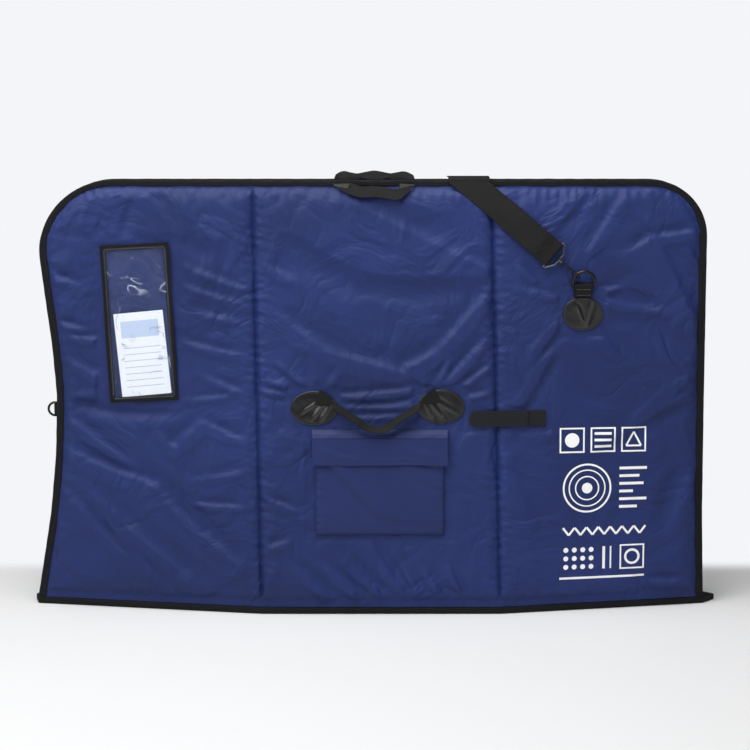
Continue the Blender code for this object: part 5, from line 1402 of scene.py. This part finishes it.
# Grab handles. Two lighter loops of the same webbing on the top edge, sewn to the binding with their ends
# folded: the front one hangs down over the cloth, the back one stands up behind the zip.
TOP_HANDLE_AT, TOP_HANDLE_REACH = (-0.00155, 0.7935), 0.07533
TOP_HANDLE_WIDTH, TOP_HANDLE_DEPTH = 0.022, 0.0273
TOP_OUT_SHARE = 0.50
TOP_HANDLE_DROP, TOP_HANDLE_STAND, TOP_TAPER = 0.016, 0.0125, 0.19
TOP_HANDLE_RISE, TOP_HANDLE_LEAN, BACK_TAPER = 0.0115, 0.0110, 0.06
TOP_DROP_SHARES = (
    (0.0, 0.0), (0.09, 0.16), (0.19, 0.42), (0.34, 0.84), (0.50, 0.80),
    (0.64, 0.96), (0.77, 1.14), (0.86, 0.72), (0.94, 0.22), (1.0, 0.0),
)
TOP_RISE_SHARES = (
    (0.0, 0.0), (0.06, 0.50), (0.13, 0.92), (0.19, 0.82), (0.30, 0.62), (0.42, 0.88), (0.50, 1.04),
    (0.58, 0.88), (0.71, 0.60), (0.82, 0.80), (0.88, 0.98), (0.93, 0.60), (1.0, 0.0),
)
x, z = TOP_HANDLE_AT
front_top = Matrix.Translation((x, -TOP_HANDLE_DEPTH, z)) @ Matrix.Rotation(math.pi / 2, 4, "X")
back_top = Matrix.Translation((x, TOP_HANDLE_DEPTH, z)) @ Matrix.Rotation(math.pi, 4, "Z")
back_top = back_top @ Matrix.Rotation(math.pi / 2, 4, "X")
for place_name, matrix, hang, way, taper in (
    ("front", front_top, (TOP_HANDLE_DROP, TOP_DROP_SHARES, TOP_HANDLE_STAND), -1, TOP_TAPER),
    ("back", back_top, (TOP_HANDLE_RISE, TOP_RISE_SHARES, TOP_HANDLE_LEAN), 1, BACK_TAPER),
):
    look = (TOP_HANDLE_WIDTH, TOP_OUT_SHARE, way, taper)
    grab = hanging_band(f"top_{place_name}_webbing", matrix, TOP_HANDLE_REACH, *hang, *look)
    fit(grab, ribbed_webbing, f"top_handle_{place_name}", f"top_handle_{place_name}")

# At each end of the front handle the webbing is folded to a point over itself, so that its underside shows
# as a three-cornered flap. The flap's paler colour is a painted sheen, the light on the handle's ends. It's
# tacked to the handle and moves with it.
FOLD_LENGTH, FOLD_HALF, FOLD_POINT = 0.027, 0.0072, 0.0006
sheen_painted_webbing, tree, shader, place = new_material("sheen_painted_webbing", "#45443f", 0.75)
# The ribs lie about 1.2 mm apart, drawn at 5.2 mm
ribs = {"Vector": place.node.outputs["UV"], "Scale": rib_scale(5.236), "Distortion": 0.6}
ribs = add_node(tree, "TexWave", ribs, bands_direction="X").outputs["Fac"]
add_node(tree, "Bump", {"Height": ribs, "Strength": 0.4, "Distance": 0.0005}, to=shader.inputs["Normal"])
share = np.linspace(0.0, 1.0, 5)
along = -TOP_HANDLE_REACH + 0.001 + FOLD_LENGTH * share
down, out = -0.0010 - 0.0046 * share, 0.0026 + 0.0066 * np.sqrt(share)
for place_name, mirror in (("left", 1), ("right", -1)):
    centres = np.stack([along * mirror, down, out], axis=1)
    halves = ways_across(centres, (0.0, 1.0, 0.25)) * mirror * (FOLD_POINT + FOLD_HALF * share)[:, None]
    folded = band_in(f"top_handle_fold_{place_name}", front_top, centres, halves, 0.0010)
    fit(folded, sheen_painted_webbing, "top_handle_front")

# Print. Opaque white screen-print ink on the lower right of the front: framed squares with plain shapes in
# them, rings and bars. The ink is a film about 0.1 mm thick and follows every fold of the cloth.
INK_STAND, INK_CELL = 0.00055, 0.003
SQUARE, LINE = 0.047, 0.0030
SQUARE_Z, RINGS_AT = 0.322, (0.395, 0.232)
LAST_SQUARE_AT = (0.482, 0.100)
TRIANGLE = ((-0.014, -0.012), (0.014, -0.012), (0.0, 0.014), (-0.014, -0.012))
ink_points, ink_faces = [], []


def ink_grid(xs, zs):
    """Lays a grid of ink points on the cloth and adds its faces."""
    base = len(ink_points)
    for x, z in zip(xs.ravel(), zs.ravel()):
        ink_points.append((x, -(front_depth(x, z) + INK_STAND), z))
    ink_faces.extend(tuple(base + i for i in face) for face in grid_faces(*xs.shape, False))


def ink_bar(x0, z0, x1, z1, width):
    """A straight bar of ink from one place to another."""
    run = np.array((x1 - x0, z1 - z0))
    length = np.hypot(*run)
    aside = np.array((-run[1], run[0])) / length * width / 2
    along = np.linspace(0.0, 1.0, max(int(length / INK_CELL), 1) + 1)
    u, v = np.meshgrid(along, np.linspace(-1.0, 1.0, max(int(width / INK_CELL), 1) + 1))
    ink_grid(x0 + run[0] * u + aside[0] * v, z0 + run[1] * u + aside[1] * v)


def ink_ring(x, z, outer, inner=0.0):
    """A ring or a disc of ink."""
    angles = np.radians(np.linspace(0.0, 360.0, max(int(outer * 2 * math.pi / INK_CELL), 12) + 1))
    u, v = np.meshgrid(angles, np.linspace(outer, inner, max(int((outer - inner) / INK_CELL), 1) + 1))
    ink_grid(x + v * np.cos(u), z + v * np.sin(u))


def ink_square(x, z):
    """The four sides of a square frame."""
    half = SQUARE / 2 - LINE / 2
    for side in (-1, 1):
        ink_bar(x - SQUARE / 2, z + side * half, x + SQUARE / 2, z + side * half, LINE)
    for side in (-1, 1):
        ink_bar(x + side * half, z - half + LINE / 2, x + side * half, z + half - LINE / 2, LINE)


for x in (0.366, 0.424, 0.482):
    ink_square(x, SQUARE_Z)
ink_ring(0.366, SQUARE_Z, 0.0135)
for step in range(3):
    ink_bar(0.408, 0.310 + 0.012 * step, 0.440, 0.310 + 0.012 * step, 0.0048)
for start, end in zip(TRIANGLE, TRIANGLE[1:]):
    ink_bar(0.482 + start[0], SQUARE_Z + start[1], 0.482 + end[0], SQUARE_Z + end[1], 0.0034)
for outer, inner in ((0.046, 0.0425), (0.035, 0.0325), (0.023, 0.0205), (0.010, 0.0)):
    ink_ring(*RINGS_AT, outer, inner)
for step, length in enumerate((0.052, 0.038, 0.046, 0.026, 0.052, 0.034)):
    ink_bar(0.456, 0.268 - 0.0145 * step, 0.456 + length, 0.268 - 0.0145 * step, 0.0052)
for step in range(7):
    x = 0.350 + 0.0225 * step
    ink_bar(x, 0.158, x + 0.011, 0.144, 0.0040)
    ink_bar(x + 0.011, 0.144, x + 0.022, 0.158, 0.0040)
for row in range(3):
    for column in range(4):
        ink_ring(0.356 + 0.016 * column, 0.116 - 0.016 * row, 0.0048)
ink_square(*LAST_SQUARE_AT)
ink_ring(*LAST_SQUARE_AT, 0.0150, 0.0105)
for x, width in ((0.428, 0.0052), (0.441, 0.0030)):
    ink_bar(x, 0.121, x, 0.079, width)
ink_bar(0.344, 0.063, 0.506, 0.063, 0.0042)

ink = shade(new_mesh("printed_ink", ink_points, ink_faces))
white_ink, tree, shader, place = new_material("white_screen_ink", "#f8f8f8", 0.5, Specular_IOR_Level=0.3)
# The cloth's grain shows through the ink, drawn at 1.1 mm as on the cloth
weave = {"Height": plain_weave(tree, place, 1.1), "Strength": 0.10, "Distance": 0.0003}
add_node(tree, "Bump", weave, to=shader.inputs["Normal"])
rubbed = add_node(tree, "TexNoise", {"Vector": place, "Scale": 60.0, "Detail": 5.0})
tint(tree, shader, rubbed, "#e6e7ea", "#ffffff")
fit(ink, white_ink, "bend")

# Ring patches. A smaller leather oval on the front right and another on the back, each with a webbing tab
# folded round a black D-ring and box-stitched where it meets the patch.
RING_PATCH_SIZE, RING_PATCH_AT = (0.075, 0.061), (0.38347, 0.55648)
RING_TAB_WIDTH, RING_TAB_LENGTH = 0.034, 0.0215
RING_BAR_RISE, RING_RADIUS = 0.0525, 0.0020
LOOP_CLEARANCE, LOOP_SHUT = 0.0005, 0.0012
WEB = 0.0016
# The tab's two corners raise the leather in a V
RING_RAYS = (((-0.013, 0.021), (0.002, -0.019)), ((0.015, 0.021), (0.004, -0.019)))
RING_CROSS = ((-0.020, 0.012), (0.020, -0.014), (0.020, 0.012), (-0.020, -0.014))

pale_thread, tree, shader, place = new_material("grey_webbing_thread", "#77787a", 0.5)
twist = add_node(tree, "TexNoise", {"Vector": place, "Scale": 900.0})
add_node(tree, "Bump", {"Height": twist, "Strength": 0.4, "Distance": 0.0002}, to=shader.inputs["Normal"])


def ring_frames(side):
    """The frames of a ring's patch and of its bar, on one side of the bag."""
    patch_place = face_frame(side, -side * RING_PATCH_AT[0], RING_PATCH_AT[1])
    stand = PATCH_GAP + RING_RADIUS + LOOP_CLEARANCE + WEB
    return patch_place, patch_place @ Matrix.Translation((0.0, RING_BAR_RISE, stand))


def folded_loop(name, matrix, width, length, bar_radius):
    """Webbing folded round a bar at the frame's origin, its two legs running down."""
    reach = bar_radius + LOOP_CLEARANCE + WEB / 2
    path = [(-length, -reach), (-length * 0.5, -reach)]
    path += [(reach * math.cos(a), reach * math.sin(a)) for a in np.radians(np.linspace(-90.0, 90.0, 13))]
    path += [(-length * 0.5, reach * 0.75 + 0.0004), (-length, LOOP_SHUT + WEB - reach)]
    centres = np.array([(0.0, up, out) for up, out in path])
    return band_in(name, matrix, centres, np.tile((width / 2, 0.0, 0.0), (len(path), 1)), WEB)


for place_name, side, body in (("front", -1, "front_panel"), ("back", 1, "bag_body")):
    matrix, bar = ring_frames(side)
    patch = leather_oval(f"ring_leather_{place_name}", matrix, RING_PATCH_SIZE, 20 + side, RING_RAYS)
    fit(patch, grained_leather, body, f"ring_patch_{place_name}")
    for seam, line in rim_lines(RING_PATCH_SIZE) + [("ray_stitches", RING_CROSS)]:
        sew(f"ring_{place_name}_{seam}", patch, matrix, line, black_thread, body)
    tab = folded_loop(f"ring_tab_webbing_{place_name}", bar, RING_TAB_WIDTH, RING_TAB_LENGTH, RING_RADIUS)
    fit(tab, ribbed_webbing, body, f"ring_tab_{place_name}")
    for index, down in enumerate((-0.0075, -0.0180)):
        line = [(-RING_TAB_WIDTH / 2 + 0.003, down), (RING_TAB_WIDTH / 2 - 0.003, down)]
        sew(f"ring_tab_{place_name}_stitches_{index}", tab, bar, line, pale_thread, body)

# Snap hooks. Black-lacquered steel hooks with thin sprung gates, each on a barrel that turns in a bright
# steel wire eye. The rings are of the same lacquered wire, and all of it is drawn a little thicker.
WELD = 0.00002
WIRES = (
    ("d_ring_front", 0.0010), ("d_ring_back", 0.0010), ("d_ring_side", 0.0008),
    ("snap_hook_front", 0.0006), ("snap_hook_back", 0.0006),
)

lacquered_steel, tree, shader, place = new_material("black_lacquered_steel", "#151517", 0.26, Metallic=0.35)
handled = add_node(tree, "TexNoise", {"Vector": place, "Scale": 220.0, "Detail": 4.0})
add_node(tree, "MapRange", {"Value": handled, "To Min": 0.18, "To Max": 0.36}, to=shader.inputs["Roughness"])
dress(("snap_gate_front", "snap_gate_back"), lacquered_steel)


def thicker(name, node_name, by):
    """A node's own shape as one closed surface, with its wire this much thicker all round."""
    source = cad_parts[node_name].data
    faces = [tuple(face.vertices) for face in source.polygons]
    item = new_mesh(name, [tuple(v.co) for v in source.vertices], faces)
    make_active(item)
    bpy.ops.object.mode_set(mode="EDIT")
    bpy.ops.mesh.select_all(action="SELECT")
    bpy.ops.mesh.remove_doubles(threshold=WELD)
    bpy.ops.object.mode_set(mode="OBJECT")
    outward_faces(item)
    for vertex, way in [(v, v.normal.copy()) for v in item.data.vertices]:
        vertex.co += way * by
    return shade(item, 45)


for node_name, by in WIRES:
    wire = thicker(f"{node_name}_wire", node_name, by)
    fit(wire, lacquered_steel, node_name, node_name)

plated_wire, tree, shader, place = new_material("nickel_plated_wire", "#5c5d60", 0.34, Metallic=1.0)
handled = add_node(tree, "TexNoise", {"Vector": place, "Scale": 180.0, "Detail": 5.0})
add_node(tree, "MapRange", {"Value": handled, "To Min": 0.28, "To Max": 0.44}, to=shader.inputs["Roughness"])
dress(("snap_eye_front", "snap_eye_back"), plated_wire)

moulded_nylon, tree, shader, place = new_material("moulded_black_nylon", "#1a1a1c", 0.40)
spark = add_node(tree, "TexNoise", {"Vector": place, "Scale": 1500.0})
add_node(tree, "Bump", {"Height": spark, "Strength": 0.2, "Distance": 0.0001}, to=shader.inputs["Normal"])
dress(("strap_adjuster",), moulded_nylon)

# Shoulder strap. One length of 50 mm black webbing from the front's hook, over the top edge, down in a slack
# loop behind the bag and up to the back's hook. Each end is folded round the wire eye and box-stitched.
EYE_WIRE, EYE_BAR = 0.0016, 0.0565
RING_WIDTH, RING_HEIGHT = 0.0410, 0.0265
STRAP_WIDTH, STRAP_FOLD_BACK = 0.050, 0.034
TOP_CLEAR, TOP_ROUND, TOP_OVERHANG = 0.0058, 0.0050, 0.0025
STRAP_SHOULDER_DROP, STRAP_FACE_STAND = 0.045, 0.0020
STRAP_STRAIGHT = 0.110
MIDDLE_GAP = 0.0003
# Each end: the bag's side, the ring's tilt, where on the ring the hook holds and which way the strap pulls
STRAP_ENDS = ((-1, 15.0, 135.0, 139.2), (1, 155.0, 110.0, 250.4))
# Each row: share of the half width, share of the height, stand off the panel and turn on edge
STRAP_BACK = (
    (0.186, 0.950, 0.12, 0.00), (0.178, 0.830, 0.16, 0.00), (0.160, 0.715, 0.38, 0.30),
    (0.118, 0.605, 0.58, 0.75), (0.050, 0.497, 0.62, 1.00), (-0.045, 0.405, 0.62, 1.00),
    (-0.170, 0.362, 0.62, 1.00), (-0.305, 0.378, 0.62, 1.00), (-0.410, 0.432, 0.60, 0.80),
    (-0.470, 0.492, 0.46, 0.35),
)


def grip_frame(side, tilt, grip_at, pull_angle):
    """The frame at the ring's wire where its hook holds, with Y along the strap's pull."""
    radius = RING_WIDTH / 2
    rise = RING_HEIGHT - radius
    grip_at = math.radians(grip_at)
    spot = Vector((radius * math.cos(grip_at), rise + radius * math.sin(grip_at), 0.0))
    spot = Matrix.Rotation(math.radians(tilt), 4, "X") @ spot
    pull = Matrix.Rotation(math.radians(pull_angle) - math.pi / 2, 4, "Z")
    return ring_frames(side)[1] @ Matrix.Translation(spot) @ pull


def folded_end(matrix):
    """The strap's end folded round the eye's bar: its centres from the tail, and its half width."""
    reach = EYE_WIRE + LOOP_CLEARANCE + WEB / 2
    beside = (LOOP_SHUT + WEB) / 2
    tail, middle = EYE_BAR + STRAP_FOLD_BACK, EYE_BAR + STRAP_FOLD_BACK / 2
    centres = [(0.0, tail, -beside), (0.0, middle, -beside)]
    for turn in np.linspace(0.0, math.pi, 11):
        centres.append((0.0, EYE_BAR - reach * math.sin(turn), -reach * math.cos(turn)))
    centres += [(0.0, middle, beside), (0.0, tail, beside)]
    half = matrix.to_3x3() @ Vector((STRAP_WIDTH / 2, 0.0, 0.0))
    return [matrix @ Vector(centre) for centre in centres], half


def over_top(side, x):
    """Centres over the top edge on one side, from the panel's face to the middle."""
    depth = INNER_DEPTH + PANEL_FACE + TOP_OVERHANG
    rises = [(depth, -TOP_ROUND / 2), (depth - TOP_OVERHANG, TOP_ROUND)]
    rises += [(depth / 2, TOP_CLEAR), (MIDDLE_GAP / 2, TOP_CLEAR)]
    return [Vector((x, side * at, HEIGHT + rise)) for at, rise in rises]


front_grip, back_grip = (grip_frame(*row) for row in STRAP_ENDS)
centres, half = folded_end(front_grip)
run = front_grip.to_3x3() @ Vector((0.0, 1.0, 0.0))
start = centres[-1]
shoulder = start + run * ((HEIGHT - STRAP_SHOULDER_DROP - start.z) / run.z)
shoulder.y = -face_depth(shoulder.x, shoulder.z) - STRAP_FACE_STAND
top_x = start.x + run.x * (HEIGHT - start.z) / run.z
over = over_top(-1, top_x) + over_top(1, top_x)[-2::-1]
narrow = Vector((STRAP_WIDTH / 2, 0.0, 0.0))
# Where it crosses the top edge at a slant, the webbing is wider along it
slanted = narrow / abs(math.sin(math.atan2(run.z, run.x)))
halves = [half] * (len(centres) + 1) + [slanted] * len(over) + [narrow]
centres += [(start + shoulder) / 2, shoulder, *over]
fold, fold_half = folded_end(back_grip)
straight = (back_grip.to_3x3() @ Vector((0.0, 1.0, 0.0))) * STRAP_STRAIGHT
knee = fold[-1] + straight
places = []
for x_share, z_share, stand_share, _ in STRAP_BACK:
    x, z = HALF_WIDTH * x_share, HEIGHT * z_share
    places.append(Vector((x, face_depth(x, z) + STRAP_WIDTH * stand_share, z)))
for centre, after, row in zip(places, places[1:] + [knee], STRAP_BACK):
    turn = row[3] * math.pi / 2
    way = after - centres[-1]
    way.y = 0.0
    way.normalize()
    across = Vector((-way.z, 0.0, way.x)) * math.cos(turn) + Vector((0.0, 1.0, 0.0)) * math.sin(turn)
    centres.append(centre)
    halves.append(across * STRAP_WIDTH / 2)
if fold_half.dot(halves[-1]) < 0:
    fold_half = -fold_half
centres += [knee, fold[-1] + straight / 2, *reversed(fold)]
halves += [fold_half] * (2 + len(fold))
# Every half runs the same way round from the first, so that the webbing doesn't cross itself
for i in range(1, len(halves)):
    if halves[i].dot(halves[i - 1]) < -0.5 * (STRAP_WIDTH / 2) ** 2:
        halves[i] = -halves[i]
rows = spread([(*centre, *half) for centre, half in zip(centres, halves)], 0.0015)
strap = flat_band("shoulder_strap_webbing", rows[:, :3], rows[:, 3:], WEB)
strap.data.materials.append(ribbed_webbing)
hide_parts("shoulder_strap_front")
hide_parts("shoulder_strap_back")
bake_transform(strap)
side, near, far = STRAP_WIDTH / 2 - 0.005, EYE_BAR + 0.010, EYE_BAR + STRAP_FOLD_BACK - 0.004
line = [(-side, near), (side, near), (side, far), (-side, far), (-side, near)]
line += [(side, far), (side, near), (-side, far)]
for place_name, matrix, body in (("front", front_grip, "front_panel"), ("back", back_grip, "bag_body")):
    sew(f"strap_{place_name}_box_stitches", strap, matrix, line, black_thread, body)

# Side ring. A small D-ring on the left edge, in a narrow tab of webbing caught under the binding.
SIDE_RING_AT = (-0.60496, INNER_DEPTH + OUTER_RISE / 2, 0.3664)
SIDE_TAB_WIDTH, SIDE_TAB_LENGTH = 0.020, 0.0074
SIDE_RING_RADIUS = 0.0015
axes = Matrix(((0.0, -1.0, 0.0), (0.0, 0.0, -1.0), (1.0, 0.0, 0.0))).to_4x4()
matrix = Matrix.Translation(SIDE_RING_AT) @ axes
side_tab = folded_loop("side_tab_webbing", matrix, SIDE_TAB_WIDTH, SIDE_TAB_LENGTH, SIDE_RING_RADIUS)
fit(side_tab, ribbed_webbing, "bag_body", "side_ring_tab")
